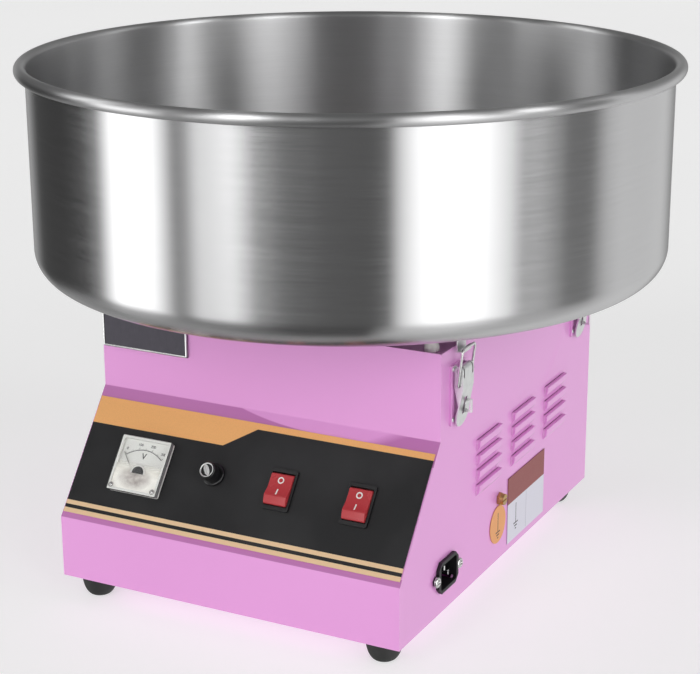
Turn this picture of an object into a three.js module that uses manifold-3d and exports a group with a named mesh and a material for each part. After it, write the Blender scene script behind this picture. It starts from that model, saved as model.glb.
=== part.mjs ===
// Electric candy floss machine: a spun stainless bowl latched onto a folded sheet-metal housing.
// Millimetres, +Z up. The origin is on the floor, under the axis of the bowl and the spinner head.
// The control panel faces -Y, and the side with the mains inlet faces +X.
import * as THREE from 'three';
import { mergeVertices } from 'three/addons/utils/BufferGeometryUtils.js';
import Module from 'manifold-3d';

const wasm = await Module();
wasm.setup();

// Clearances
const GAP = 0.3;
const RUNNING_GAP = 0.4;

// Housing
const SHEET = 1.5;
const BEND_RADIUS = 2.5;
const HOUSING_WIDTH = 291;
const AXIS_TO_FRONT = 142.5;
const AXIS_TO_REAR = 166;
const PLINTH_STEP = 67;
const PLINTH_HEIGHT = 49;
const SLOPE_HEIGHT = 88;
const UPPER_HEIGHT = 66;
const FLANGE_WIDTH = 12;

// Deck and base tray
const DECK_RECESS = 3;
const DECK_SKIRT = 12;
const DECK_HOLE_RADIUS = 9;
const BASE_SKIRT = 10;

// Louvres: pressed out of the side walls and the rear cover, each open along its top
const LOUVRE_LENGTH = 43.5;
const LOUVRE_HEIGHT = 9;
const LOUVRE_DEPTH = 3.4;
const LOUVRE_SHOULDER = 2.9;
const LOUVRE_SHOULDER_DROP = 5.4;
const LOUVRE_WALL = 1;
const LOUVRE_COLUMN_PITCH = 69;
const LOUVRE_ROW_PITCH = 12.2;
const LOUVRE_FIRST_Y = -54.8;
const LOUVRE_TOP_HEIGHT = 116;
const LOUVRE_COLUMNS = 3;
const LOUVRE_ROWS = 4;
const REAR_LOUVRE_HEIGHT = 150;

// Feet
const FOOT_HEIGHT = 18;
const FOOT_TOP_RADIUS = 14;
const FOOT_BOTTOM_RADIUS = 6;
const FOOT_CURVE_STEPS = 5;
const FOOT_INSET_X = 21;
const FOOT_INSET_Y = 18.5;
const STUD_RADIUS = 2.5;
const STUD_LENGTH = 7;

// Bowl
const BOWL_RADIUS = 260;
const BOWL_DEPTH = 166;
const BOWL_SHEET = 1.2;
const BOWL_CORNER_RADIUS = 21;
const BEAD_RADIUS = 4.8;
const BOWL_RISE = 19;
const COLLAR_RADIUS = 80;
const COLLAR_HEIGHT = 10;
const COLLAR_BEND = 4;
const BOWL_SEGMENTS = 64;

// Bowl spacers on the deck
const SPACER_RADIUS = 5.5;
const SPACER_INSET_X = 12;
const SPACER_INSET_Y = 12;

// Toggle latches
const LATCH_FRONT_Y = -115.5;
const LATCH_REAR_Y = 129;
const LATCH_HINGE_BELOW_TOP = 17;
const LATCH_HINGE_OUT = 6;
const LATCH_PIN_RADIUS = 1.5;
const LATCH_PLATE = 1.2;
const LATCH_BASE_WIDTH = 24;
const LATCH_BASE_LENGTH = 46;
const LEVER_WIDTH = 19;
const LEVER_TIP_WIDTH = 21.6;
const LEVER_OUT = 9.5;
const LEVER_LENGTH = 45;
const LEVER_SHEET = 1.2;
const LEVER_FLANGE_LENGTH = 27;
const LEVER_PLATE_START = 5;
const LEVER_CURL_ANGLE = 100;
const LEVER_BEND_Z = -13.2;
const LEVER_TIP_OUT = 3.6;
const STAPLE_DROP = 28;
const STAPLE_LENGTH = 10;
const STAPLE_WIDTH = 2;
const STAPLE_OUT = 12.6;
const STAPLE_EDGE = 1.2;
const STAPLE_HOLE = 3.8;
const WIRE_RADIUS = 1.1;
const WIRE_BEND = 3;
const LOOP_DROP = 11;
const LOOP_RISE = 17;
const LOOP_LEAN = 3.5;

// Catches under the bowl
const CATCH_WIDTH = 15;
const CATCH_SHEET = 1.2;
const CATCH_FOOT = 13;
const CATCH_DEPTH = 22.5;
const CATCH_NOTCH = 3;
const CATCH_LIP = 4;

// Control panel, in the plane of the slope: U across, V down the slope from its upper edge
const OVERLAY_THICKNESS = 0.5;
const OVERLAY_MARGIN = 1;
const OVERLAY_TOP_V = 10;
const OVERLAY_BOTTOM_V = 106;
const METER_U = -87.9;
const METER_V = 60.8;
const METER_SIZE = 44;
const METER_HEIGHT = 6.3;
const METER_WALL = 1.8;
const METER_BASE = 1.6;
const METER_BARREL_RADIUS = 19;
const METER_BARREL_DEPTH = 28;
const METER_PIVOT_DROP = 12;
const DIAL_THICKNESS = 0.5;
const WINDOW_THICKNESS = 1;
const NEEDLE_LENGTH = 27.5;
const NEEDLE_WIDTH = 1;
const NEEDLE_THICKNESS = 0.5;
const NEEDLE_HUB_RADIUS = 3;
const NEEDLE_REST_DEG = 40;
const FUSE_U = -25.5;
const FUSE_V = 55.8;
const FUSE_FLANGE_RADIUS = 9;
const FUSE_FLANGE_THICKNESS = 2.4;
const FUSE_BARREL_RADIUS = 6.5;
const FUSE_BARREL_DEPTH = 30;
const FUSE_RADIUS = 2.6;
const FUSE_LENGTH = 20;
const FUSE_CAP_RADIUS = 6.8;
const FUSE_CAP_HEIGHT = 10.5;
const FUSE_SLOT_WIDTH = 1.6;
const SWITCH_V = 57.5;
const HEAT_SWITCH_U = 32.3;
const POWER_SWITCH_U = 97.3;
const BEZEL_WIDTH = 22.6;
const BEZEL_LENGTH = 32;
const BEZEL_THICKNESS = 1.8;
const ROCKER_WIDTH = 18.4;
const ROCKER_LENGTH = 25.2;
const ROCKER_CREST = 4.9;
const ROCKER_CREST_SHARE = 0.57;
const ROCKER_DISH = 1;
const ROCKER_EDGE = 1.6;
const ROCKER_TILT_DEG = 9;
const ROCKER_DEPTH = 5;
const SWITCH_WALL = 1.4;
const SWITCH_BODY_DEPTH = 20;

// Plates and labels
const NAME_PLATE_WIDTH = 77;
const NAME_PLATE_HEIGHT = 30;
const NAME_PLATE_THICKNESS = 1.5;
const NAME_PLATE_EDGE = 1.5;
const NAME_PLATE_LIFT = 33;
const LABEL_THICKNESS = 0.4;
const LABEL_WIDTH = 77;
const LABEL_HEIGHT = 56;
const LABEL_Y = 25.5;
const LABEL_Z = 34;
const TAG_RADIUS = 15.5;
const TAG_Y = -33;
const TAG_Z = 31;

// Earth screw
const EARTH_Y = -30.5;
const EARTH_Z = 52;
const EARTH_HEAD_RADIUS = 4.5;
const EARTH_HEAD_HEIGHT = 2.8;
const EARTH_NUT_RADIUS = 5.5;
const EARTH_NUT_HEIGHT = 2.4;
const EARTH_STUD_RADIUS = 2;
const EARTH_STUD_LENGTH = 9;

// Mains inlet on the right wall
const INLET_Y = -131;
const INLET_Z = 30;
const INLET_WIDTH = 34.5;
const INLET_HEIGHT = 25;
const INLET_CHAMFER = 5;
const INLET_PROUD = 2.6;
const INLET_EAR_THICKNESS = 1.2;
const INLET_EAR_HEIGHT = 7.6;
const INLET_EAR_CHAMFER = 2.4;
const INLET_EAR_REACH = 22.8;
const INLET_CAVITY_WIDTH = 27.5;
const INLET_CAVITY_HEIGHT = 19.5;
const INLET_CAVITY_DEPTH = 17.6;
const INLET_WALL = 1.6;
const PIN_SPACING = 7;
const PIN_RISE = 3;
const PIN_WIDTH = 4;
const PIN_THICKNESS = 2;
const PIN_RECESS = 3.6;
const PIN_TAIL = 7;
const INLET_SCREW_SPACING = 39.4;
const INLET_SCREW_RADIUS = 4.3;
const INLET_SCREW_HEAD = 2.5;
const INLET_SCREW_SHANK = 1.5;
const INLET_SCREW_LENGTH = 8;

// Motor and spinner
const MOTOR_RADIUS = 44;
const MOTOR_HEIGHT = 88;
const MOTOR_BOSS_RADIUS = 14;
const MOTOR_BOSS_HEIGHT = 4;
const MOTOR_BORE_DEPTH = 34;
const BRACKET_DROP = 26;
const BRACKET_WIDTH = 70;
const BRACKET_LENGTH = 120;
const BRACKET_FOOT = 20;
const BRACKET_SHEET = 2.5;
const SPINDLE_RADIUS = 6;
const BEARING_FLANGE_RADIUS = 24;
const BEARING_FLANGE_THICKNESS = 3;
const BEARING_BOSS_RADIUS = 13;
const BEARING_HEIGHT = 14;
const HUB_RADIUS = 15;
const HUB_HEIGHT = 28;
const HUB_LIFT = 3;
const RING_DEPTH = 1.5;
const RING_WIDTH = 5;
const BRUSH_WIDTH = 14;
const BRUSH_HOLDER_DEPTH = 16;
const BRUSH_REACH = 3;
const HEAD_RADIUS = 66;
const HEAD_LIFT = 6;
const HEAD_HEIGHT = 46;
const HEAD_WALL = 2;
const HEAD_BAND_HEIGHT = 22;
const HEAD_DISH = 12;
const CAP_MOUTH_RADIUS = 26;
const CAP_LIP = 5;
const CAP_NECK = 8;
const HEATER_RADIUS = 54;
const HEATER_THICKNESS = 3;
const HEATER_HEIGHT = 12;
const HEATER_TEETH = 16;

// Heights and faces that follow from the sizes above
const BASE_Z = FOOT_HEIGHT;
const PLINTH_TOP_Z = BASE_Z + PLINTH_HEIGHT;
const CREASE_Z = PLINTH_TOP_Z + SLOPE_HEIGHT;
const WALL_TOP_Z = CREASE_Z + UPPER_HEIGHT;
const FRONT_Y = -AXIS_TO_FRONT;
const PLINTH_Y = FRONT_Y - PLINTH_STEP;
const REAR_Y = AXIS_TO_REAR;
const SIDE_X = HOUSING_WIDTH / 2;
const INNER_X = SIDE_X - SHEET - GAP;
const DECK_TOP_Z = WALL_TOP_Z - DECK_RECESS;
const DECK_UNDER_Z = DECK_TOP_Z - SHEET;
const BOWL_Z = WALL_TOP_Z + BOWL_RISE;
const RIM_Z = BOWL_Z + BOWL_DEPTH;
const PANEL_TILT = Math.atan2(SLOPE_HEIGHT, PLINTH_STEP);
const OVERLAY_TOP = GAP + OVERLAY_THICKNESS;
const CONTROL_SEAT = OVERLAY_TOP + GAP;
const WALL_RADIUS = BOWL_RADIUS - 2 * BEAD_RADIUS + BOWL_SHEET;
const BEARING_TOP_Z = DECK_TOP_Z + GAP + BEARING_HEIGHT;
const HUB_Z = BEARING_TOP_Z + HUB_LIFT;
const HEAD_Z = HUB_Z + HUB_HEIGHT + HEAD_LIFT;
const MOTOR_TOP_Z = DECK_UNDER_Z - GAP - BRACKET_DROP - BRACKET_SHEET - GAP;

// Finishes
const finish = (color, roughness, metalness, extra = {}) => (
  new THREE.MeshStandardMaterial({ color, roughness, metalness, ...extra }));
const FINISH = {
  pinkPaint: finish(0xdd9cd2, 0.3, 0.05),
  panelPrint: finish(0x2c2a2b, 0.45, 0),
  spunSteel: finish(0xb9babb, 0.3, 1),
  brightSteel: finish(0xc9cccd, 0.22, 1),
  aluminium: finish(0xaeb1b4, 0.4, 0.9),
  brass: finish(0xb99a50, 0.35, 1),
  blackRubber: finish(0x1b1b1c, 0.8, 0),
  blackPlastic: finish(0x161617, 0.4, 0),
  redPlastic: finish(0xa8343a, 0.35, 0),
  whitePlastic: finish(0xe4e3de, 0.4, 0),
  dialCard: finish(0xf2f1ea, 0.6, 0),
  clearPlastic: finish(0xdfe4e4, 0.1, 0, { transparent: true, opacity: 0.3 }),
  glass: finish(0xcfd8d8, 0.05, 0, { transparent: true, opacity: 0.4 }),
  labelFilm: finish(0xe9e2e6, 0.5, 0),
  orangeFilm: finish(0xe39a57, 0.5, 0),
  plateSheet: finish(0x45434a, 0.4, 0.5),
  motorPaint: finish(0x3c4146, 0.5, 0.4),
  resin: finish(0x7a3f24, 0.5, 0),
};

// Turning shapes into closed solids and back into meshes

function closedSolid(geometry) {
  const bare = geometry.clone();
  bare.deleteAttribute('normal');
  bare.deleteAttribute('uv');
  const merged = mergeVertices(bare, 1e-4);
  const index = merged.index.array;
  const triangles = [];
  for (let i = 0; i < index.length; i += 3) {
    const [a, b, c] = [index[i], index[i + 1], index[i + 2]];
    if (a !== b && b !== c && c !== a) triangles.push(a, b, c);
  }
  return new wasm.Manifold(new wasm.Mesh({
    numProp: 3,
    vertProperties: new Float32Array(merged.attributes.position.array),
    triVerts: new Uint32Array(triangles),
  }));
}

const join = (first, ...rest) => rest.reduce((sum, piece) => sum.add(piece), first);
const cut = (first, ...rest) => rest.reduce((left, piece) => left.subtract(piece), first);
const common = (first, second) => first.intersect(second);

function geometryOf(solid) {
  const mesh = solid.getMesh();
  const positions = new Float32Array(mesh.numVert * 3);
  for (let i = 0; i < mesh.numVert; i += 1) {
    positions.set(mesh.vertProperties.subarray(i * mesh.numProp, i * mesh.numProp + 3), i * 3);
  }
  const geometry = new THREE.BufferGeometry();
  geometry.setAttribute('position', new THREE.BufferAttribute(positions, 3));
  geometry.setIndex(new THREE.BufferAttribute(new Uint32Array(mesh.triVerts), 1));
  geometry.computeVertexNormals();
  return geometry;
}

function piece(parent, name, solid, material) {
  const mesh = new THREE.Mesh(geometryOf(solid), material.clone());
  mesh.name = name;
  parent.add(mesh);
  return mesh;
}

// Basic shapes, each placed in its parent's frame

function block(x0, x1, y0, y1, z0, z1) {
  const geometry = new THREE.BoxGeometry(x1 - x0, y1 - y0, z1 - z0);
  return closedSolid(geometry.translate((x0 + x1) / 2, (y0 + y1) / 2, (z0 + z1) / 2));
}

function rod(radius, z0, z1, sides = 20, x = 0, y = 0) {
  const geometry = new THREE.CylinderGeometry(radius, radius, z1 - z0, sides);
  return closedSolid(geometry.rotateX(Math.PI / 2).translate(x, y, (z0 + z1) / 2));
}

function rodAlongX(radius, x0, x1, y, z, sides = 20) {
  const geometry = new THREE.CylinderGeometry(radius, radius, x1 - x0, sides);
  return closedSolid(geometry.rotateZ(Math.PI / 2).translate((x0 + x1) / 2, y, z));
}

function rodAlongY(radius, y0, y1, x, z, sides = 16) {
  return closedSolid(new THREE.CylinderGeometry(radius, radius, y1 - y0, sides)
    .translate(x, (y0 + y1) / 2, z));
}

const shapeOf = (points) => new THREE.Shape(points.map(([a, b]) => new THREE.Vector2(a, b)));

// A flat outline in X and Y, raised from z0 to z1
function slab(points, z0, z1) {
  const geometry = new THREE.ExtrudeGeometry(shapeOf(points), { depth: z1 - z0, bevelEnabled: false });
  return closedSolid(geometry.translate(0, 0, z0));
}

// An outline in Y and Z, carried from x0 to x1
function barAlongX(points, x0, x1) {
  const geometry = new THREE.ExtrudeGeometry(shapeOf(points), { depth: x1 - x0, bevelEnabled: false });
  geometry.rotateX(Math.PI / 2).rotateZ(Math.PI / 2);
  return closedSolid(geometry.translate(x0, 0, 0));
}

// An outline in X and Z, carried from y0 to y1
function barAlongY(points, y0, y1) {
  const geometry = new THREE.ExtrudeGeometry(shapeOf(points), { depth: y1 - y0, bevelEnabled: false });
  return closedSolid(geometry.rotateX(Math.PI / 2).translate(0, y1, 0));
}

// A closed outline of radius and height, counter-clockwise, turned about Z
function turned(points, segments) {
  const profile = points.map(([r, z]) => new THREE.Vector2(r, z));
  profile.push(profile[0].clone());
  return closedSolid(new THREE.LatheGeometry(profile, segments).rotateX(Math.PI / 2));
}

// A line moved sideways to its left, mitred at its corners
function offsetLine(points, distance) {
  return points.map(([x, y], i) => {
    const before = points[Math.max(i - 1, 0)];
    const here = points[i];
    const after = points[Math.min(i + 1, points.length - 1)];
    const entry = new THREE.Vector2(here[0] - before[0], here[1] - before[1]).normalize();
    const exit = new THREE.Vector2(after[0] - here[0], after[1] - here[1]).normalize();
    if (i === 0) entry.copy(exit);
    if (i === points.length - 1) exit.copy(entry);
    const middle = entry.clone().add(exit).normalize();
    const reach = distance / middle.dot(entry);
    return [x - middle.y * reach, y + middle.x * reach];
  });
}

// A line thickened to its left into a closed outline
const stripOf = (points, thickness) => [...points, ...offsetLine(points, thickness).reverse()];

// Points of an arc about a centre, from one angle to another in degrees
function arc(cx, cy, radius, from, to, steps) {
  return Array.from({ length: steps + 1 }, (unused, i) => {
    const angle = THREE.MathUtils.degToRad(from + (to - from) * i / steps);
    return [cx + radius * Math.cos(angle), cy + radius * Math.sin(angle)];
  });
}

// A line whose inner corners are rounded by arcs of one radius
function roundedLine(points, radius, steps = 3) {
  const result = [points[0]];
  for (let i = 1; i < points.length - 1; i += 1) {
    const corner = new THREE.Vector2(...points[i]);
    const back = new THREE.Vector2(...points[i - 1]).sub(corner).normalize();
    const ahead = new THREE.Vector2(...points[i + 1]).sub(corner).normalize();
    const halfAngle = Math.acos(THREE.MathUtils.clamp(back.dot(ahead), -1, 1)) / 2;
    const bisector = back.clone().add(ahead).normalize();
    const centre = corner.clone().addScaledVector(bisector, radius / Math.sin(halfAngle));
    const start = corner.clone().addScaledVector(back, radius / Math.tan(halfAngle)).sub(centre);
    const end = corner.clone().addScaledVector(ahead, radius / Math.tan(halfAngle)).sub(centre);
    let turn = end.angle() - start.angle();
    if (turn > Math.PI) turn -= 2 * Math.PI;
    if (turn < -Math.PI) turn += 2 * Math.PI;
    for (let step = 0; step <= steps; step += 1) {
      const angle = start.angle() + turn * step / steps;
      result.push([centre.x + radius * Math.cos(angle), centre.y + radius * Math.sin(angle)]);
    }
  }
  result.push(points[points.length - 1]);
  return result;
}

// A rectangle centred on a point, with cut or rounded corners
const rectangle = (cx, cy, width, height) => [
  [cx - width / 2, cy - height / 2], [cx + width / 2, cy - height / 2],
  [cx + width / 2, cy + height / 2], [cx - width / 2, cy + height / 2]];

function chamferedRectangle(cx, cy, width, height, chamfer) {
  const [w, h] = [width / 2, height / 2];
  return [[cx - w + chamfer, cy - h], [cx + w - chamfer, cy - h], [cx + w, cy - h + chamfer],
    [cx + w, cy + h - chamfer], [cx + w - chamfer, cy + h], [cx - w + chamfer, cy + h],
    [cx - w, cy + h - chamfer], [cx - w, cy - h + chamfer]];
}

// A round wire along straight runs, with a bend of its own size at each corner
function wireAlong(points, bends, radius, sides, steps) {
  const path = new THREE.CurvePath();
  let from = points[0];
  bends.forEach((bend, i) => {
    const corner = points[i + 1];
    const entry = corner.clone().addScaledVector(points[i].clone().sub(corner).normalize(), bend);
    const exit = corner.clone().addScaledVector(points[i + 2].clone().sub(corner).normalize(), bend);
    path.add(new THREE.LineCurve3(from, entry));
    path.add(new THREE.QuadraticBezierCurve3(entry, corner, exit));
    from = exit;
  });
  path.add(new THREE.LineCurve3(from, points[points.length - 1]));
  const section = shapeOf(arc(0, 0, radius, 0, 360 - 360 / sides, sides - 1));
  const options = { steps, extrudePath: path, bevelEnabled: false };
  return closedSolid(new THREE.ExtrudeGeometry(section, options));
}

const machine = new THREE.Group();

// Control panel frame: X across, -Y down the slope, Z out of it, origin on the upper edge
const panel = new THREE.Group();
panel.position.set(0, FRONT_Y, CREASE_Z);
panel.rotation.x = PANEL_TILT;
panel.updateMatrix();
machine.add(panel);

const fromPanel = (solid) => closedSolid(geometryOf(solid).applyMatrix4(panel.matrix));

// Holes behind the controls, shared by the overlay and the housing
function controlHoles(z0, z1) {
  const switchHole = (u) => slab(rectangle(u, -SWITCH_V, ROCKER_WIDTH + 2 * (RUNNING_GAP + SWITCH_WALL + GAP),
    ROCKER_LENGTH + 2 * (RUNNING_GAP + SWITCH_WALL + GAP)), z0, z1);
  return join(
    rod(METER_BARREL_RADIUS + GAP, z0, z1, 28, METER_U, -METER_V),
    rod(FUSE_BARREL_RADIUS + GAP, z0, z1, 20, FUSE_U, -FUSE_V),
    switchHole(HEAT_SWITCH_U),
    switchHole(POWER_SWITCH_U));
}

// Side louvres: a hood that swells out of the wall and is open along its top
const louvrePlaces = [];
for (let column = 0; column < LOUVRE_COLUMNS; column += 1) {
  for (let row = 0; row < LOUVRE_ROWS; row += 1) {
    louvrePlaces.push([
      LOUVRE_FIRST_Y + column * LOUVRE_COLUMN_PITCH,
      BASE_Z + LOUVRE_TOP_HEIGHT - row * LOUVRE_ROW_PITCH]);
  }
}

// Hoods and their slots for a wall whose outer face is at X = face, facing +X
function louvreHoods(face, places) {
  return places.map(([y, top]) => closedSolid(new THREE.ExtrudeGeometry(
    shapeOf([[face - SHEET / 2, top - LOUVRE_HEIGHT], [face, top - LOUVRE_HEIGHT],
      [face + LOUVRE_SHOULDER, top - LOUVRE_SHOULDER_DROP], [face + LOUVRE_DEPTH, top],
      [face - SHEET / 2, top]]),
    { depth: LOUVRE_LENGTH, bevelEnabled: false })
    .rotateX(Math.PI / 2).translate(0, y + LOUVRE_LENGTH / 2, 0)));
}

function louvreSlots(face, places) {
  const drop = LOUVRE_WALL * (LOUVRE_HEIGHT - LOUVRE_SHOULDER_DROP) / LOUVRE_SHOULDER;
  return places.map(([y, top]) => closedSolid(new THREE.ExtrudeGeometry(
    shapeOf([[face - 2 * SHEET, top - LOUVRE_HEIGHT + drop], [face, top - LOUVRE_HEIGHT + drop],
      [face + LOUVRE_SHOULDER - LOUVRE_WALL, top - LOUVRE_SHOULDER_DROP],
      [face + LOUVRE_DEPTH - LOUVRE_WALL, top + GAP], [face - 2 * SHEET, top + GAP]]),
    { depth: LOUVRE_LENGTH - 2 * LOUVRE_WALL, bevelEnabled: false })
    .rotateX(Math.PI / 2).translate(0, y + LOUVRE_LENGTH / 2 - LOUVRE_WALL, 0)));
}

// A half turn about Z, which carries what is on the right wall to the left wall
const halfTurn = new THREE.Matrix4().makeRotationZ(Math.PI);
const movedBy = (solid, matrix) => closedSolid(geometryOf(solid).applyMatrix4(matrix));

function buildHousing() {
  const bends = roundedLine([
    [PLINTH_Y, BASE_Z], [PLINTH_Y, PLINTH_TOP_Z], [FRONT_Y, CREASE_Z], [FRONT_Y, WALL_TOP_Z]], BEND_RADIUS);
  const frontSheet = barAlongX(stripOf(bends, -SHEET), -SIDE_X, SIDE_X);
  const sideOutline = [...bends, [REAR_Y, WALL_TOP_Z], [REAR_Y, BASE_Z]];
  const leftWall = barAlongX(sideOutline, -SIDE_X, -SIDE_X + SHEET);
  const rightWall = barAlongX(sideOutline, SIDE_X - SHEET, SIDE_X);
  const flangeY = REAR_Y - 2 * SHEET - GAP;
  const rearFlange = (x0, x1) => block(x0, x1, flangeY, flangeY + SHEET, BASE_Z + 2 * BASE_SKIRT,
    DECK_UNDER_Z - DECK_SKIRT - GAP);
  const mirrored = louvrePlaces.map(([y, z]) => [-y, z]);
  const shell = join(frontSheet, leftWall, rightWall,
    rearFlange(-SIDE_X + SHEET / 2, -SIDE_X + FLANGE_WIDTH),
    rearFlange(SIDE_X - FLANGE_WIDTH, SIDE_X - SHEET / 2),
    ...louvreHoods(SIDE_X, louvrePlaces),
    ...louvreHoods(SIDE_X, mirrored).map((hood) => movedBy(hood, halfTurn)));
  const inletHole = barAlongX(chamferedRectangle(INLET_Y, BASE_Z + INLET_Z,
    INLET_CAVITY_WIDTH + 2 * (INLET_WALL + GAP), INLET_CAVITY_HEIGHT + 2 * (INLET_WALL + GAP),
    INLET_CHAMFER), SIDE_X - 2 * SHEET, SIDE_X + SHEET);
  const holes = [
    fromPanel(controlHoles(-3 * SHEET, SHEET)),
    inletHole,
    rodAlongX(EARTH_STUD_RADIUS + GAP, SIDE_X - 2 * SHEET, SIDE_X + SHEET, EARTH_Y, BASE_Z + EARTH_Z, 12),
    ...louvreSlots(SIDE_X, louvrePlaces),
    ...louvreSlots(SIDE_X, mirrored).map((slot) => movedBy(slot, halfTurn)),
  ];
  for (const side of [-1, 1]) {
    holes.push(rodAlongX(INLET_SCREW_SHANK + GAP, SIDE_X - 2 * SHEET, SIDE_X + SHEET,
      INLET_Y + side * INLET_SCREW_SPACING / 2, BASE_Z + INLET_Z, 12));
  }
  piece(machine, 'housing_shell', cut(shell, ...holes), FINISH.pinkPaint);
}

// Deck: a tray turned down at its edges, with a hole for the spindle
function buildDeck() {
  const y0 = FRONT_Y + SHEET + GAP;
  const y1 = REAR_Y - SHEET - 2 * GAP;
  const outer = block(-INNER_X, INNER_X, y0, y1, DECK_TOP_Z - DECK_SKIRT, DECK_TOP_Z);
  const inner = block(-INNER_X + SHEET, INNER_X - SHEET, y0 + SHEET, y1 - SHEET,
    DECK_TOP_Z - DECK_SKIRT - SHEET, DECK_UNDER_Z);
  const hole = rod(DECK_HOLE_RADIUS, DECK_UNDER_Z - SHEET, DECK_TOP_Z + SHEET, 24);
  piece(machine, 'top_plate', cut(outer, inner, hole), FINISH.pinkPaint);
}

const footPlaces = [];
for (const x of [-1, 1]) {
  for (const y of [PLINTH_Y + FOOT_INSET_Y, REAR_Y - FOOT_INSET_Y]) {
    footPlaces.push([x * (SIDE_X - FOOT_INSET_X), y]);
  }
}

function buildBase() {
  const y0 = PLINTH_Y + SHEET + GAP;
  const y1 = REAR_Y - SHEET - 2 * GAP;
  const outer = block(-INNER_X, INNER_X, y0, y1, BASE_Z, BASE_Z + BASE_SKIRT);
  const inner = block(-INNER_X + SHEET, INNER_X - SHEET, y0 + SHEET, y1 - SHEET,
    BASE_Z + SHEET, BASE_Z + BASE_SKIRT + SHEET);
  const holes = footPlaces.map(([x, y]) => (
    rod(STUD_RADIUS + GAP, BASE_Z - SHEET, BASE_Z + 2 * SHEET, 12, x, y)));
  for (let i = -2; i <= 2; i += 1) {
    const y = i * 2 * LOUVRE_ROW_PITCH;
    holes.push(block(-LOUVRE_LENGTH, LOUVRE_LENGTH, y - 2 * SHEET, y + 2 * SHEET,
      BASE_Z - SHEET, BASE_Z + 2 * SHEET));
  }
  piece(machine, 'base_plate', cut(outer, inner, ...holes), FINISH.pinkPaint);
}

// Rear cover: it lies on the housing's rear flanges, flush with the walls
function buildRearCover() {
  const cover = block(-INNER_X, INNER_X, REAR_Y - SHEET, REAR_Y, BASE_Z, WALL_TOP_Z);
  const outward = new THREE.Matrix4().makeRotationZ(Math.PI / 2);
  const places = [];
  for (const column of [-1, 0, 1]) {
    for (let row = 0; row < LOUVRE_ROWS; row += 1) {
      places.push([column * LOUVRE_COLUMN_PITCH, BASE_Z + REAR_LOUVRE_HEIGHT - row * LOUVRE_ROW_PITCH]);
    }
  }
  const hoods = louvreHoods(REAR_Y, places).map((hood) => movedBy(hood, outward));
  const slots = louvreSlots(REAR_Y, places).map((slot) => movedBy(slot, outward));
  piece(machine, 'rear_cover', cut(join(cover, ...hoods), ...slots), FINISH.pinkPaint);
}

function buildFeet() {
  const names = ['foot_front_left', 'foot_rear_left', 'foot_front_right', 'foot_rear_right'];
  const topZ = BASE_Z - GAP;
  const spread = FOOT_TOP_RADIUS - FOOT_BOTTOM_RADIUS;
  const curve = arc(0, 0, 1, -90, 0, FOOT_CURVE_STEPS)
    .map(([x, y]) => [FOOT_BOTTOM_RADIUS + spread * x, topZ * (1 + y)]);
  const outline = [[0, 0], ...curve, [STUD_RADIUS, topZ],
    [STUD_RADIUS, BASE_Z + STUD_LENGTH], [0, BASE_Z + STUD_LENGTH]];
  footPlaces.forEach(([x, y], i) => {
    piece(machine, names[i], turned(outline, 20), FINISH.blackRubber).position.set(x, y, 0);
  });
}

// Bowl: one spun sheet, from the collar round its centre hole to the rolled bead on its rim
function buildBowl() {
  const half = BOWL_SHEET / 2;
  const wall = WALL_RADIUS - half;
  const floor = BOWL_Z + half;
  const beadCentre = [wall + BEAD_RADIUS - half, RIM_Z - BEAD_RADIUS];
  const middle = [
    [COLLAR_RADIUS, floor + COLLAR_HEIGHT],
    ...arc(COLLAR_RADIUS + COLLAR_BEND, floor + COLLAR_BEND, COLLAR_BEND, 180, 270, 2),
    ...arc(wall - BOWL_CORNER_RADIUS, floor + BOWL_CORNER_RADIUS, BOWL_CORNER_RADIUS, 270, 360, 5),
    ...arc(...beadCentre, BEAD_RADIUS - half, 180, -110, 8),
  ];
  const outline = [...offsetLine(middle, -half), ...offsetLine(middle, half).reverse()];
  piece(machine, 'bowl', turned(outline, BOWL_SEGMENTS), FINISH.spunSteel);
}

function buildSpacers() {
  const names = ['bowl_spacer_front_left', 'bowl_spacer_rear_left',
    'bowl_spacer_front_right', 'bowl_spacer_rear_right'];
  const places = [];
  for (const x of [-1, 1]) {
    for (const y of [FRONT_Y + SHEET + SPACER_INSET_Y, REAR_Y - SHEET - SPACER_INSET_Y]) {
      places.push([x * (INNER_X - SPACER_INSET_X), y]);
    }
  }
  places.forEach(([x, y], i) => {
    const spacer = rod(SPACER_RADIUS, DECK_TOP_Z + GAP, BOWL_Z - GAP, 16);
    piece(machine, names[i], spacer, FINISH.whitePlastic).position.set(x, y, 0);
  });
}

// Latches: X out of the wall, Y along it, Z up, origin on the wall level with the lever's hinge

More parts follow.
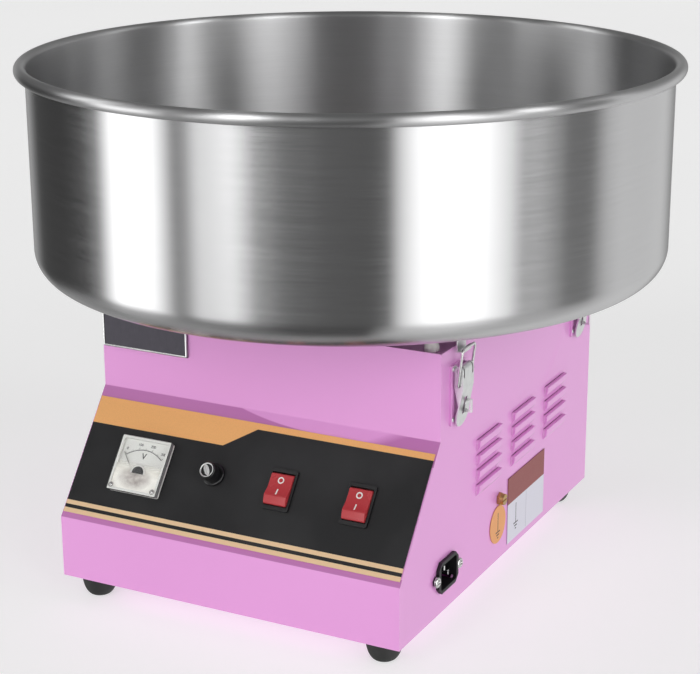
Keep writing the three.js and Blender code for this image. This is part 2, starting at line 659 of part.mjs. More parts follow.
function latchBase() {
  const face = GAP + LATCH_PLATE;
  const earY = LEVER_WIDTH / 2 - LEVER_SHEET - GAP;
  const earOutline = [[face - LATCH_PLATE / 2, -4], [LATCH_HINGE_OUT, -2.8],
    [LATCH_HINGE_OUT + 1.8, -1.8], [LATCH_HINGE_OUT + 1.8, 1.8], [LATCH_HINGE_OUT, 2.8],
    [face - LATCH_PLATE / 2, 4]];
  const top = 4;
  const bottom = top - LATCH_BASE_LENGTH;
  const plate = block(GAP, face, -LATCH_BASE_WIDTH / 2, LATCH_BASE_WIDTH / 2, bottom, top);
  const ears = [-1, 1].map((side) => barAlongY(earOutline,
    side * earY - (side > 0 ? LATCH_PLATE : 0), side * earY + (side > 0 ? 0 : LATCH_PLATE)));
  const pin = rodAlongY(LATCH_PIN_RADIUS, -LEVER_WIDTH / 2, LEVER_WIDTH / 2, LATCH_HINGE_OUT, 0, 12);
  const staple = cut(
    block(face - LATCH_PLATE / 2, STAPLE_OUT, -STAPLE_WIDTH / 2, STAPLE_WIDTH / 2,
      -STAPLE_DROP - STAPLE_LENGTH / 2, -STAPLE_DROP + STAPLE_LENGTH / 2),
    barAlongY(chamferedRectangle(STAPLE_OUT - STAPLE_EDGE - STAPLE_HOLE / 2, -STAPLE_DROP,
      STAPLE_HOLE, STAPLE_LENGTH - 2 * STAPLE_EDGE, STAPLE_EDGE), -STAPLE_WIDTH, STAPLE_WIDTH));
  return join(plate, ...ears, pin, staple);
}

// Lever: a channel bent in towards the wall, with a wide round finger tip and a slot for the staple.
// A tongue of its face curls over the pin, between the ears of the base.
function latchLever() {
  const half = LEVER_WIDTH / 2;
  const tipHalf = LEVER_TIP_WIDTH / 2;
  const faceOutline = [[-half, -LEVER_PLATE_START], [-half, -LEVER_FLANGE_LENGTH],
    ...arc(0, -LEVER_LENGTH + tipHalf, tipHalf, 180, 360, 9),
    [half, -LEVER_FLANGE_LENGTH], [half, -LEVER_PLATE_START]];
  const tongueHalf = half - LEVER_SHEET - LATCH_PLATE - 2 * GAP;
  const curl = [...arc(LATCH_HINGE_OUT, 0, LEVER_OUT - LATCH_HINGE_OUT, LEVER_CURL_ANGLE, 0, 6),
    [LEVER_OUT, -LEVER_PLATE_START - LEVER_SHEET]];
  const tongue = barAlongY(stripOf(curl, -LEVER_SHEET), -tongueHalf, tongueHalf);
  const lean = (LEVER_OUT - LEVER_TIP_OUT) / (LEVER_LENGTH + LEVER_BEND_Z);
  const flangeOut = LEVER_OUT - lean * (LEVER_FLANGE_LENGTH + LEVER_BEND_Z);
  const line = [[LEVER_OUT, -LEVER_PLATE_START], [LEVER_OUT, LEVER_BEND_Z], [LEVER_TIP_OUT, -LEVER_LENGTH]];
  const plate = common(barAlongY(stripOf(line, -LEVER_SHEET), -tipHalf, tipHalf),
    barAlongX(faceOutline, 0, LEVER_OUT + LEVER_SHEET));
  const flangeOutline = [
    ...arc(LATCH_HINGE_OUT, 0, LEVER_OUT - LATCH_HINGE_OUT, 0, 180, 5),
    [LATCH_HINGE_OUT - (LEVER_OUT - LATCH_HINGE_OUT), LEVER_BEND_Z],
    [flangeOut - LEVER_SHEET, -LEVER_FLANGE_LENGTH], [flangeOut, -LEVER_FLANGE_LENGTH],
    [LEVER_OUT, LEVER_BEND_Z]];
  const flanges = [
    barAlongY(flangeOutline, -half, -half + LEVER_SHEET),
    barAlongY(flangeOutline, half - LEVER_SHEET, half)];
  const slot = block(LATCH_PLATE + GAP, LEVER_OUT + LEVER_SHEET,
    -STAPLE_WIDTH / 2 - 4 * GAP, STAPLE_WIDTH / 2 + 4 * GAP,
    -STAPLE_DROP - STAPLE_LENGTH / 2 - 6 * GAP, -STAPLE_DROP + STAPLE_LENGTH / 2 + 6 * GAP);
  const bore = (radius, z) => rodAlongY(radius, -half - SHEET, half + SHEET, LATCH_HINGE_OUT, z, 12);
  return cut(join(plate, tongue, ...flanges), slot,
    bore(LATCH_PIN_RADIUS + RUNNING_GAP, 0), bore(WIRE_RADIUS + RUNNING_GAP, -LOOP_DROP));
}

// Loop: a wire bail whose turned-in ends sit in the lever's flanges
function latchLoop() {
  const wireY = LEVER_WIDTH / 2 + 2 * GAP + WIRE_RADIUS;
  const endY = LEVER_WIDTH / 2 - LEVER_SHEET - 2 * GAP;
  const bottom = (y) => new THREE.Vector3(LATCH_HINGE_OUT, y, -LOOP_DROP);
  const top = (y) => new THREE.Vector3(LATCH_HINGE_OUT + LOOP_LEAN, y, LOOP_RISE);
  const points = [bottom(-endY), bottom(-wireY), top(-wireY), top(wireY), bottom(wireY), bottom(endY)];
  return wireAlong(points, [WIRE_RADIUS, WIRE_BEND, WIRE_BEND, WIRE_RADIUS], WIRE_RADIUS, 6, 32);
}

// Catch: a hook hung under the bowl's floor, its lip just inside the closed loop
function bowlCatch() {
  const hingeZ = WALL_TOP_Z - LATCH_HINGE_BELOW_TOP;
  const lipFace = LATCH_HINGE_OUT + LOOP_LEAN - WIRE_RADIUS - GAP;
  const legFace = lipFace - 2 * CATCH_SHEET - CATCH_NOTCH;
  const top = BOWL_Z - GAP - hingeZ;
  const bottom = top - CATCH_DEPTH;
  const line = [[legFace - CATCH_FOOT, top - CATCH_SHEET], [legFace, top - CATCH_SHEET], [legFace, bottom],
    [lipFace, bottom], [lipFace, bottom + CATCH_LIP]];
  return barAlongY(stripOf(line, CATCH_SHEET), -CATCH_WIDTH / 2, CATCH_WIDTH / 2);
}

function buildLatches() {
  const corners = [
    ['front_right', 1, LATCH_FRONT_Y], ['rear_right', 1, LATCH_REAR_Y],
    ['front_left', -1, LATCH_FRONT_Y], ['rear_left', -1, LATCH_REAR_Y]];
  for (const [corner, side, y] of corners) {
    const frame = new THREE.Group();
    frame.position.set(side * SIDE_X, y, WALL_TOP_Z - LATCH_HINGE_BELOW_TOP);
    frame.rotation.z = side > 0 ? 0 : Math.PI;
    machine.add(frame);
    piece(frame, `latch_base_${corner}`, latchBase(), FINISH.brightSteel);
    piece(frame, `latch_lever_${corner}`, latchLever(), FINISH.brightSteel);
    piece(frame, `latch_loop_${corner}`, latchLoop(), FINISH.brightSteel);
    piece(frame, `bowl_catch_${corner}`, bowlCatch(), FINISH.brightSteel);
  }
}

function buildOverlay() {
  const half = SIDE_X - OVERLAY_MARGIN;
  const sheet = block(-half, half, -OVERLAY_BOTTOM_V, -OVERLAY_TOP_V, GAP, OVERLAY_TOP);
  piece(panel, 'panel_overlay', cut(sheet, controlHoles(-SHEET, SHEET)), FINISH.panelPrint);
}

function buildMeter() {
  const meter = new THREE.Group();
  meter.position.set(METER_U, -METER_V, CONTROL_SEAT);
  panel.add(meter);
  const outline = chamferedRectangle(0, 0, METER_SIZE, METER_SIZE, 1);
  const barrel = rod(METER_BARREL_RADIUS, -METER_BARREL_DEPTH, METER_BASE / 2, 28);
  piece(meter, 'voltmeter_case', join(slab(outline, 0, METER_BASE), barrel), FINISH.whitePlastic);

  const seat = METER_BASE + GAP;
  const pocket = METER_SIZE - 2 * METER_WALL;
  const card = pocket - 2 * GAP;
  const cardTop = seat + DIAL_THICKNESS;
  piece(meter, 'voltmeter_dial', slab(rectangle(0, 0, card, card), seat, cardTop), FINISH.dialCard);

  const hollow = slab(rectangle(0, 0, pocket, pocket), 0, METER_HEIGHT - WINDOW_THICKNESS);
  piece(meter, 'voltmeter_window', cut(slab(outline, seat, METER_HEIGHT), hollow), FINISH.clearPlastic);

  const needle = new THREE.Group();
  needle.position.set(0, -METER_PIVOT_DROP, cardTop + GAP);
  needle.rotation.z = THREE.MathUtils.degToRad(NEEDLE_REST_DEG);
  meter.add(needle);
  const pointer = slab([[-NEEDLE_WIDTH / 2, 0], [NEEDLE_WIDTH / 2, 0],
    [NEEDLE_WIDTH / 4, NEEDLE_LENGTH], [-NEEDLE_WIDTH / 4, NEEDLE_LENGTH]], 0, NEEDLE_THICKNESS);
  piece(needle, 'voltmeter_needle', join(pointer, rod(NEEDLE_HUB_RADIUS, 0, 2 * NEEDLE_THICKNESS, 16)),
    FINISH.blackPlastic);
}

function buildFuse() {
  const fuse = new THREE.Group();
  fuse.position.set(FUSE_U, -FUSE_V, CONTROL_SEAT);
  panel.add(fuse);
  const bore = rod(FUSE_RADIUS + RUNNING_GAP, -FUSE_BARREL_DEPTH + SHEET, FUSE_FLANGE_THICKNESS + SHEET, 16);
  piece(fuse, 'fuse_holder', cut(join(
    rod(FUSE_FLANGE_RADIUS, 0, FUSE_FLANGE_THICKNESS, 24),
    rod(FUSE_BARREL_RADIUS, -FUSE_BARREL_DEPTH, FUSE_FLANGE_THICKNESS / 2, 20)), bore), FINISH.blackPlastic);

  const capZ = FUSE_FLANGE_THICKNESS + GAP;
  const capTop = capZ + FUSE_CAP_HEIGHT;
  const socketTop = capTop - 3 * FUSE_SLOT_WIDTH;
  const knob = turned([[0, capZ], [FUSE_CAP_RADIUS, capZ], [FUSE_CAP_RADIUS, capTop - 2],
    [FUSE_CAP_RADIUS - 1.5, capTop], [0, capTop]], 20);
  const slot = block(-FUSE_CAP_RADIUS, FUSE_CAP_RADIUS, -FUSE_SLOT_WIDTH / 2, FUSE_SLOT_WIDTH / 2,
    capTop - FUSE_SLOT_WIDTH, capTop + SHEET);
  const socket = rod(FUSE_RADIUS + RUNNING_GAP, capZ - SHEET, socketTop, 16);
  piece(fuse, 'fuse_cap', cut(knob, slot, socket), FINISH.blackPlastic);
  const top = socketTop - GAP;
  piece(fuse, 'fuse_cartridge', rod(FUSE_RADIUS, top - FUSE_LENGTH, top, 16), FINISH.glass);
}

// Rocker outline in Y and Z about its hinge: two crests with a shallow dish between them, upright ends
function rockerOutline() {
  const end = ROCKER_LENGTH / 2;
  const crest = ROCKER_CREST_SHARE * end;
  return [[-end, 0], [-end + 2, -ROCKER_DEPTH + 1], [0, -ROCKER_DEPTH], [end - 2, -ROCKER_DEPTH + 1],
    [end, 0], [end, ROCKER_EDGE], [crest, ROCKER_CREST], [0, ROCKER_CREST - ROCKER_DISH],
    [-crest, ROCKER_CREST], [-end, ROCKER_EDGE]];
}

function buildSwitch(name, u) {
  const group = new THREE.Group();
  group.position.set(u, -SWITCH_V, CONTROL_SEAT);
  panel.add(group);
  const cavityWidth = ROCKER_WIDTH + 2 * RUNNING_GAP;
  const cavityLength = ROCKER_LENGTH + 2 * RUNNING_GAP;
  const bodyWidth = cavityWidth + 2 * SWITCH_WALL;
  const bodyLength = cavityLength + 2 * SWITCH_WALL;
  const cavityFloor = -ROCKER_DEPTH - 2 * RUNNING_GAP;
  const bezel = slab(chamferedRectangle(0, 0, BEZEL_WIDTH, BEZEL_LENGTH, 1), 0, BEZEL_THICKNESS);
  const body = slab(rectangle(0, 0, bodyWidth, bodyLength), -SWITCH_BODY_DEPTH, BEZEL_THICKNESS / 2);
  const cavity = slab(rectangle(0, 0, cavityWidth, cavityLength), cavityFloor, BEZEL_THICKNESS + SHEET);
  piece(group, `${name}_switch_case`, cut(join(bezel, body), cavity), FINISH.blackPlastic);

  const rocker = new THREE.Group();
  rocker.rotation.x = -THREE.MathUtils.degToRad(ROCKER_TILT_DEG);
  group.add(rocker);
  piece(rocker, `${name}_switch_rocker`, barAlongX(rockerOutline(), -ROCKER_WIDTH / 2, ROCKER_WIDTH / 2),
    FINISH.redPlastic);
}

function buildPlates() {
  const plateX = -SIDE_X + NAME_PLATE_EDGE;
  const plateZ = CREASE_Z + NAME_PLATE_LIFT;
  const plate = block(plateX, plateX + NAME_PLATE_WIDTH, FRONT_Y - GAP - NAME_PLATE_THICKNESS, FRONT_Y - GAP,
    plateZ, plateZ + NAME_PLATE_HEIGHT);
  piece(machine, 'name_plate', plate, FINISH.plateSheet);
  const face = SIDE_X + GAP;
  piece(machine, 'side_label', barAlongX(rectangle(LABEL_Y, BASE_Z + LABEL_Z, LABEL_WIDTH, LABEL_HEIGHT),
    face, face + LABEL_THICKNESS), FINISH.labelFilm);
  piece(machine, 'earth_tag', rodAlongX(TAG_RADIUS, face, face + LABEL_THICKNESS, TAG_Y, BASE_Z + TAG_Z, 32),
    FINISH.orangeFilm);
}

// Earth screw: a stud through the wall, with a hexagon nut and a domed head outside
function buildEarthScrew() {
  const z = BASE_Z + EARTH_Z;
  const nutFace = SIDE_X + GAP + EARTH_NUT_HEIGHT;
  const headFace = nutFace + EARTH_HEAD_HEIGHT;
  const screw = join(
    rodAlongX(EARTH_STUD_RADIUS, SIDE_X - EARTH_STUD_LENGTH, nutFace, EARTH_Y, z, 12),
    rodAlongX(EARTH_NUT_RADIUS, SIDE_X + GAP, nutFace, EARTH_Y, z, 6),
    rodAlongX(EARTH_HEAD_RADIUS, nutFace - SHEET / 2, headFace, EARTH_Y, z, 16));
  const slot = block(headFace - 1, headFace + 1, EARTH_Y - EARTH_NUT_RADIUS, EARTH_Y + EARTH_NUT_RADIUS,
    z - 0.5, z + 0.5);
  piece(machine, 'earth_screw', cut(screw, slot), FINISH.brass);
}

function buildInlet() {
  const z = BASE_Z + INLET_Z;
  const face = SIDE_X + GAP;
  const back = face + INLET_PROUD - INLET_CAVITY_DEPTH - INLET_WALL;
  const rim = barAlongX(chamferedRectangle(INLET_Y, z, INLET_WIDTH, INLET_HEIGHT, INLET_CHAMFER),
    face, face + INLET_PROUD);
  const ears = barAlongX(chamferedRectangle(INLET_Y, z, 2 * INLET_EAR_REACH, INLET_EAR_HEIGHT,
    INLET_EAR_CHAMFER), face, face + INLET_EAR_THICKNESS);
  const body = barAlongX(chamferedRectangle(INLET_Y, z, INLET_CAVITY_WIDTH + 2 * INLET_WALL,
    INLET_CAVITY_HEIGHT + 2 * INLET_WALL, INLET_CHAMFER), back, face + SHEET);
  const cavity = barAlongX(chamferedRectangle(INLET_Y, z, INLET_CAVITY_WIDTH, INLET_CAVITY_HEIGHT,
    INLET_WALL), back + INLET_WALL, face + INLET_PROUD + SHEET);
  const pinPlaces = [
    ['earth', 0, PIN_RISE],
    ['line', -PIN_SPACING, -PIN_RISE],
    ['neutral', PIN_SPACING, -PIN_RISE]];
  const pinHoles = pinPlaces.map(([, y, rise]) => barAlongX(
    rectangle(INLET_Y + y, z + rise, PIN_THICKNESS + 2 * GAP, PIN_WIDTH + 2 * GAP),
    back - INLET_WALL, back + 2 * INLET_WALL));
  const screwHoles = [-1, 1].map((side) => rodAlongX(INLET_SCREW_SHANK + GAP, SIDE_X, face + INLET_PROUD,
    INLET_Y + side * INLET_SCREW_SPACING / 2, z, 12));
  const headSeats = [-1, 1].map((side) => rodAlongX(INLET_SCREW_RADIUS + GAP, face + INLET_EAR_THICKNESS,
    face + 2 * INLET_PROUD, INLET_Y + side * INLET_SCREW_SPACING / 2, z, 16));
  piece(machine, 'inlet_socket', cut(join(rim, ears, body), cavity, ...pinHoles, ...screwHoles, ...headSeats),
    FINISH.blackPlastic);
  for (const [name, y, rise] of pinPlaces) {
    const pin = barAlongX(rectangle(INLET_Y + y, z + rise, PIN_THICKNESS, PIN_WIDTH),
      back - PIN_TAIL, face + INLET_PROUD - PIN_RECESS);
    piece(machine, `inlet_pin_${name}`, pin, FINISH.brightSteel);
  }
  const headZ = face + INLET_EAR_THICKNESS + GAP;
  [['front', -1], ['rear', 1]].forEach(([name, side]) => {
    const y = INLET_Y + side * INLET_SCREW_SPACING / 2;
    const head = rodAlongX(INLET_SCREW_RADIUS, headZ, headZ + INLET_SCREW_HEAD, y, z, 16);
    const shank = rodAlongX(INLET_SCREW_SHANK, headZ - INLET_SCREW_LENGTH,
      headZ + INLET_SCREW_HEAD / 2, y, z, 12);
    piece(machine, `inlet_screw_${name}`, join(head, shank), FINISH.brightSteel);
  });
}

// Motor, hung under the deck on a hat-shaped bracket
function buildMotor() {
  const top = DECK_UNDER_Z - GAP;
  const web = top - BRACKET_DROP;
  const inner = BRACKET_LENGTH / 2;
  const outer = inner + BRACKET_FOOT;
  const shelf = top - BRACKET_SHEET;
  const floor = web - BRACKET_SHEET;
  const line = [[-outer, shelf], [-inner, shelf], [-inner, floor], [inner, floor], [inner, shelf],
    [outer, shelf]];
  const hat = barAlongY(stripOf(line, BRACKET_SHEET), -BRACKET_WIDTH / 2, BRACKET_WIDTH / 2);
  const bossHole = rod(MOTOR_BOSS_RADIUS + GAP, web - 2 * BRACKET_SHEET, web + BRACKET_SHEET, 24);
  piece(machine, 'motor_bracket', cut(hat, bossHole), FINISH.brightSteel);

  const bodyTop = MOTOR_TOP_Z;
  const bodyBottom = bodyTop - MOTOR_HEIGHT;
  const body = turned([[0, bodyBottom], [MOTOR_RADIUS - 6, bodyBottom], [MOTOR_RADIUS, bodyBottom + 6],
    [MOTOR_RADIUS, bodyTop - 3], [MOTOR_RADIUS - 3, bodyTop], [MOTOR_BOSS_RADIUS, bodyTop],
    [MOTOR_BOSS_RADIUS, bodyTop + MOTOR_BOSS_HEIGHT], [0, bodyTop + MOTOR_BOSS_HEIGHT]], 32);
  const bore = rod(SPINDLE_RADIUS + RUNNING_GAP, bodyTop - MOTOR_BORE_DEPTH,
    bodyTop + 2 * MOTOR_BOSS_HEIGHT, 24);
  piece(machine, 'motor_body', cut(body, bore), FINISH.motorPaint);
}

function buildBearing() {
  const z0 = DECK_TOP_Z + GAP;
  const bore = SPINDLE_RADIUS + RUNNING_GAP;
  const flangeTop = z0 + BEARING_FLANGE_THICKNESS;
  piece(machine, 'spindle_bearing', turned([[bore, z0], [BEARING_FLANGE_RADIUS, z0],
    [BEARING_FLANGE_RADIUS, flangeTop], [BEARING_BOSS_RADIUS, flangeTop],
    [BEARING_BOSS_RADIUS, BEARING_TOP_Z], [bore, BEARING_TOP_Z]], 28), FINISH.aluminium);
}

// Brush holder: a resin post on the deck whose two carbon fingers run on the slip rings
const ringHeights = [HUB_Z + HUB_HEIGHT * 0.3, HUB_Z + HUB_HEIGHT * 0.7];

function buildBrushHolder() {
  const x0 = Math.max(HUB_RADIUS + RING_DEPTH + BRUSH_REACH, BEARING_FLANGE_RADIUS + GAP);
  const post = block(x0, x0 + BRUSH_HOLDER_DEPTH, -BRUSH_WIDTH / 2, BRUSH_WIDTH / 2,
    DECK_TOP_Z + GAP, HUB_Z + HUB_HEIGHT);
  const fingers = ringHeights.map((z) => block(HUB_RADIUS + RING_DEPTH + GAP, x0 + SHEET,
    -RING_WIDTH / 2, RING_WIDTH / 2, z - RING_WIDTH / 2, z + RING_WIDTH / 2));
  piece(machine, 'brush_holder', join(post, ...fingers), FINISH.resin);
}

// Everything that turns with the spindle
function buildSpinner() {
  const spindleBottom = MOTOR_TOP_Z - MOTOR_BORE_DEPTH + GAP;
  const spindleTop = HEAD_Z + HEAD_HEIGHT * 0.55;
  piece(machine, 'spindle', rod(SPINDLE_RADIUS, spindleBottom, spindleTop, 24), FINISH.brightSteel);

  const hubBore = SPINDLE_RADIUS + GAP;
  const outline = [[hubBore, HUB_Z], [HUB_RADIUS, HUB_Z]];
  for (const z of ringHeights) {
    outline.push([HUB_RADIUS, z - RING_WIDTH], [HUB_RADIUS + RING_DEPTH, z - RING_WIDTH],
      [HUB_RADIUS + RING_DEPTH, z + RING_WIDTH], [HUB_RADIUS, z + RING_WIDTH]);
  }
  outline.push([HUB_RADIUS, HUB_Z + HUB_HEIGHT], [hubBore, HUB_Z + HUB_HEIGHT]);
  piece(machine, 'slip_ring_hub', turned(outline, 24), FINISH.brass);

  const rimZ = HEAD_Z + HEAD_DISH;
  const bossTop = HEAD_Z + HEAD_HEIGHT * 0.5;
  piece(machine, 'spinner_head', turned([[hubBore, HEAD_Z], [HUB_RADIUS, HEAD_Z], [HEAD_RADIUS, rimZ],
    [HEAD_RADIUS, rimZ + HEAD_WALL], [HEAD_RADIUS - HEAD_WALL, rimZ + HEAD_WALL],
    [HUB_RADIUS, HEAD_Z + HEAD_WALL * 1.5], [SPINDLE_RADIUS + 5, HEAD_Z + 2 * HEAD_WALL],
    [SPINDLE_RADIUS + 4, bossTop], [hubBore, bossTop]], 36), FINISH.aluminium);

  const bandTop = rimZ + HEAD_BAND_HEIGHT;
  const capTop = HEAD_Z + HEAD_HEIGHT;
  const z0 = rimZ + HEAD_WALL + GAP;
  const neck = CAP_MOUTH_RADIUS + CAP_NECK;
  piece(machine, 'spinner_cap', turned([[HEAD_RADIUS - HEAD_WALL, z0], [HEAD_RADIUS, z0],
    [HEAD_RADIUS, bandTop], [neck, capTop - CAP_LIP], [CAP_MOUTH_RADIUS, capTop],
    [CAP_MOUTH_RADIUS - HEAD_WALL, capTop], [neck - 2 * HEAD_WALL, capTop - CAP_LIP - HEAD_WALL],
    [HEAD_RADIUS - HEAD_WALL, bandTop - HEAD_WALL]], 36), FINISH.aluminium);

  const dishSlope = (HEAD_DISH - HEAD_WALL / 2) / (HEAD_RADIUS - HEAD_WALL - HUB_RADIUS);
  const dishZ = (radius) => HEAD_Z + 1.5 * HEAD_WALL + (radius - HUB_RADIUS) * dishSlope;
  const heaterZ = dishZ(HEATER_RADIUS + HEATER_THICKNESS) + GAP;
  const heaterTop = heaterZ + HEATER_HEIGHT;
  const ring = turned([[HEATER_RADIUS, heaterZ], [HEATER_RADIUS + HEATER_THICKNESS, heaterZ],
    [HEATER_RADIUS + HEATER_THICKNESS, heaterTop], [HEATER_RADIUS, heaterTop]], 48);
  const notches = Array.from({ length: HEATER_TEETH }, (unused, i) => {
    const turn = new THREE.Matrix4().makeRotationZ(2 * Math.PI * i / HEATER_TEETH);
    const middle = heaterZ + HEATER_HEIGHT / 2 + (i % 2 ? 1 : -1) * HEATER_THICKNESS / 2;
    const notch = block(HEATER_RADIUS - HEATER_THICKNESS, HEATER_RADIUS + 2 * HEATER_THICKNESS,
      -HEATER_THICKNESS / 2, HEATER_THICKNESS / 2, middle - HEATER_HEIGHT / 3, middle + HEATER_HEIGHT / 3);
    return movedBy(notch, turn);
  });
  piece(machine, 'heater_ring', cut(ring, ...notches), FINISH.brightSteel);
}

buildHousing();
buildDeck();
buildBase();
buildRearCover();
buildFeet();
buildOverlay();
buildMeter();
buildFuse();
buildSwitch('heat', HEAT_SWITCH_U);
buildSwitch('power', POWER_SWITCH_U);
buildPlates();
buildEarthScrew();
buildInlet();
buildLatches();
buildSpacers();
buildBowl();
buildMotor();
buildBearing();
buildBrushHolder();
buildSpinner();

export default machine;
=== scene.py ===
"""Electric candy floss machine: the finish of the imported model, its fine pieces, the studio and the camera.

Shapes are given in millimetres in the frame of the sub-assembly that they belong to. A Placement carries
them to the machine's own frame in metres: the origin is on the floor under the bowl's axis, +Z is up, the
control panel faces -Y and the mains inlet faces +X.
"""

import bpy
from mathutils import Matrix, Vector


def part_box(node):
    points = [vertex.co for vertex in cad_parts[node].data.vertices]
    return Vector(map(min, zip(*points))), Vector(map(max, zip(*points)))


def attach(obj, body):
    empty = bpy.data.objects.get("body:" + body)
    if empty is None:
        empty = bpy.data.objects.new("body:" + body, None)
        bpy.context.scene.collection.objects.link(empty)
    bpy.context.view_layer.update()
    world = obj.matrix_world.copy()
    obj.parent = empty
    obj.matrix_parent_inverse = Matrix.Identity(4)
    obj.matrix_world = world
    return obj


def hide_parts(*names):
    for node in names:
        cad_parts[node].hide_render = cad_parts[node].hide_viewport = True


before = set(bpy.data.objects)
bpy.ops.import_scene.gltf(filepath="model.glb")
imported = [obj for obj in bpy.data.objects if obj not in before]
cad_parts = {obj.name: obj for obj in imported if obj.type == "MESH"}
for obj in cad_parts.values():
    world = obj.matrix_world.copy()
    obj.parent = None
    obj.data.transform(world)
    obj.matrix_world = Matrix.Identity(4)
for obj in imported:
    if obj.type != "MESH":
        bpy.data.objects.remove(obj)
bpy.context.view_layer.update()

import logging
import math
from collections.abc import Callable, Sequence
from dataclasses import dataclass
from enum import Enum

import bmesh
import bpy
import numpy as np
from mathutils import Matrix

MM = 0.001
# Points within a seam, in metres, are one. Faces within the flat angle, in degrees, lie in one plane.
SEAM = 2e-6
SOLID_SEAM = 1e-6
FLAT_ANGLE = 0.4
CORNER_STEPS = 4
ROLL_STEPS = 5
LOG = logging.getLogger("floss_machine")
Colour = tuple[float, float, float]
Outline = Sequence[tuple[float, float]]
Socket = bpy.types.NodeSocket
Sockets = dict[str, bpy.types.NodeSocket]


class Body(Enum):
    """The moving bodies of the machine, by what they are."""

    HOUSING = "housing"
    BOWL = "bowl"
    SPINNER = "spinner"
    NEEDLE = "meter_needle"
    FUSE_CARRIER = "fuse_carrier"
    FUSE_KNOB = "fuse_knob"
    HEAT_ROCKER = "heat_rocker"
    POWER_ROCKER = "power_rocker"


class Corner(Enum):
    """The corners of the housing, by the words that the solids' names hold."""

    FRONT_LEFT = "front_left"
    REAR_LEFT = "rear_left"
    FRONT_RIGHT = "front_right"
    REAR_RIGHT = "rear_right"


class Facing(Enum):
    """Axes of a flat shape whose top faces one side of the machine."""

    UP = ((1, 0, 0), (0, 1, 0), (0, 0, 1))
    DOWN = ((1, 0, 0), (0, -1, 0), (0, 0, -1))
    RIGHT = ((0, 1, 0), (0, 0, 1), (1, 0, 0))
    BACK = ((1, 0, 0), (0, 0, -1), (0, 1, 0))
    FRONT = ((1, 0, 0), (0, 0, 1), (0, -1, 0))


class Lay(Enum):
    """The way that a metal's brush marks run."""

    X = "along X"
    Y = "along Y"
    Z = "along Z"
    ROUND = "round Z"


# Shapes


@dataclass(frozen=True)
class Placement:
    """Where a sub-assembly sits: its origin in millimetres and the directions of its own axes."""

    origin: tuple[float, float, float] = (0.0, 0.0, 0.0)
    axes: tuple[tuple[float, float, float], ...] = Facing.UP.value

    def put(self, points: np.ndarray) -> np.ndarray:
        """Points in the machine's frame, in metres: the origin plus each coordinate times its axis."""
        turned = np.asarray(points, float) @ np.array(self.axes, float)
        return (turned + np.array(self.origin)) * MM

    def moved(self, x: float, y: float, z: float) -> "Placement":
        """The same frame with its origin moved along its own axes."""
        origin = np.array(self.origin) + np.array([x, y, z]) @ np.array(self.axes, float)
        return Placement(tuple(origin), self.axes)

    def turned(self, degrees: float) -> "Placement":
        """The same frame turned about its own X axis."""
        turn = np.array(Matrix.Rotation(math.radians(degrees), 3, "X"))
        return Placement(self.origin, tuple(map(tuple, turn.T @ np.array(self.axes, float))))


@dataclass
class Shape:
    """A mesh of four-sided faces, in millimetres, with an optional UV for each corner of each face."""

    points: np.ndarray
    quads: np.ndarray
    uv: np.ndarray | None = None

    @staticmethod
    def joined(shapes: Sequence["Shape"]) -> "Shape":
        """Puts several shapes into one mesh.

        Args:
            shapes: The shapes, which must all lack a UV.

        Returns:
            One shape with every face of them.
        """
        starts = np.cumsum([0] + [len(shape.points) for shape in shapes[:-1]])
        quads = [shape.quads + start for shape, start in zip(shapes, starts)]
        return Shape(np.concatenate([shape.points for shape in shapes]), np.concatenate(quads))

    def moved(self, x: float = 0.0, y: float = 0.0, z: float = 0.0) -> "Shape":
        """The same shape, moved."""
        return Shape(self.points + np.array([x, y, z]), self.quads, self.uv)

    def placed(self, place: Placement) -> "Shape":
        """The same shape in the machine's frame, still in millimetres."""
        return Shape(place.put(self.points) / MM, self.quads, self.uv)

    def copied(self, places: Sequence[Placement]) -> "Shape":
        """One shape with a copy of this one at each place."""
        return Shape.joined([self.placed(place) for place in places])


def grid(points: np.ndarray, wrap_rows: bool = False, wrap_columns: bool = False,
         lengths: np.ndarray | None = None) -> Shape:
    """Joins a grid of points by faces, each corner to its neighbours along the row and the column.

    Args:
        points: Array of rows by columns by 3.
        wrap_rows: True if the last row joins the first.
        wrap_columns: True if the last column joins the first.
        lengths: For a UV, the V of each row, in metres; U then runs from 0 to 1 along the columns.

    Returns:
        The surface as a shape.
    """
    rows, columns = points.shape[:2]
    r = np.arange(rows if wrap_rows else rows - 1)[:, None]
    c = np.arange(columns if wrap_columns else columns - 1)[None, :]
    here, below, across = r * columns, (r + 1) % rows * columns, (c + 1) % columns
    quads = np.stack([here + c, here + across, below + across, below + c], -1)
    uv = None
    if lengths is not None:
        step = 1 / columns
        u = np.broadcast_to(c * step, quads.shape[:2])
        v = np.broadcast_to(lengths[:len(r), None], quads.shape[:2])
        ahead = np.broadcast_to(np.roll(lengths, -1)[:len(r), None], quads.shape[:2])
        uv = np.stack([u, v, u + step, v, u + step, ahead, u, ahead], -1).reshape(-1, 4, 2)
    return Shape(points.reshape(-1, 3), quads.reshape(-1, 4), uv)


def capped(rings: np.ndarray) -> np.ndarray:
    """Rings of points, closed at both ends by a ring whose points all lie in the end ring's middle."""
    first, last = (np.broadcast_to(rings[end].mean(0), rings[end].shape)[None] for end in (0, -1))
    return np.concatenate([first, rings, last])


def circle(segments: int) -> np.ndarray:
    """Angles of equal steps round a full turn, in radians."""
    return np.linspace(0, 2 * np.pi, segments, endpoint=False)


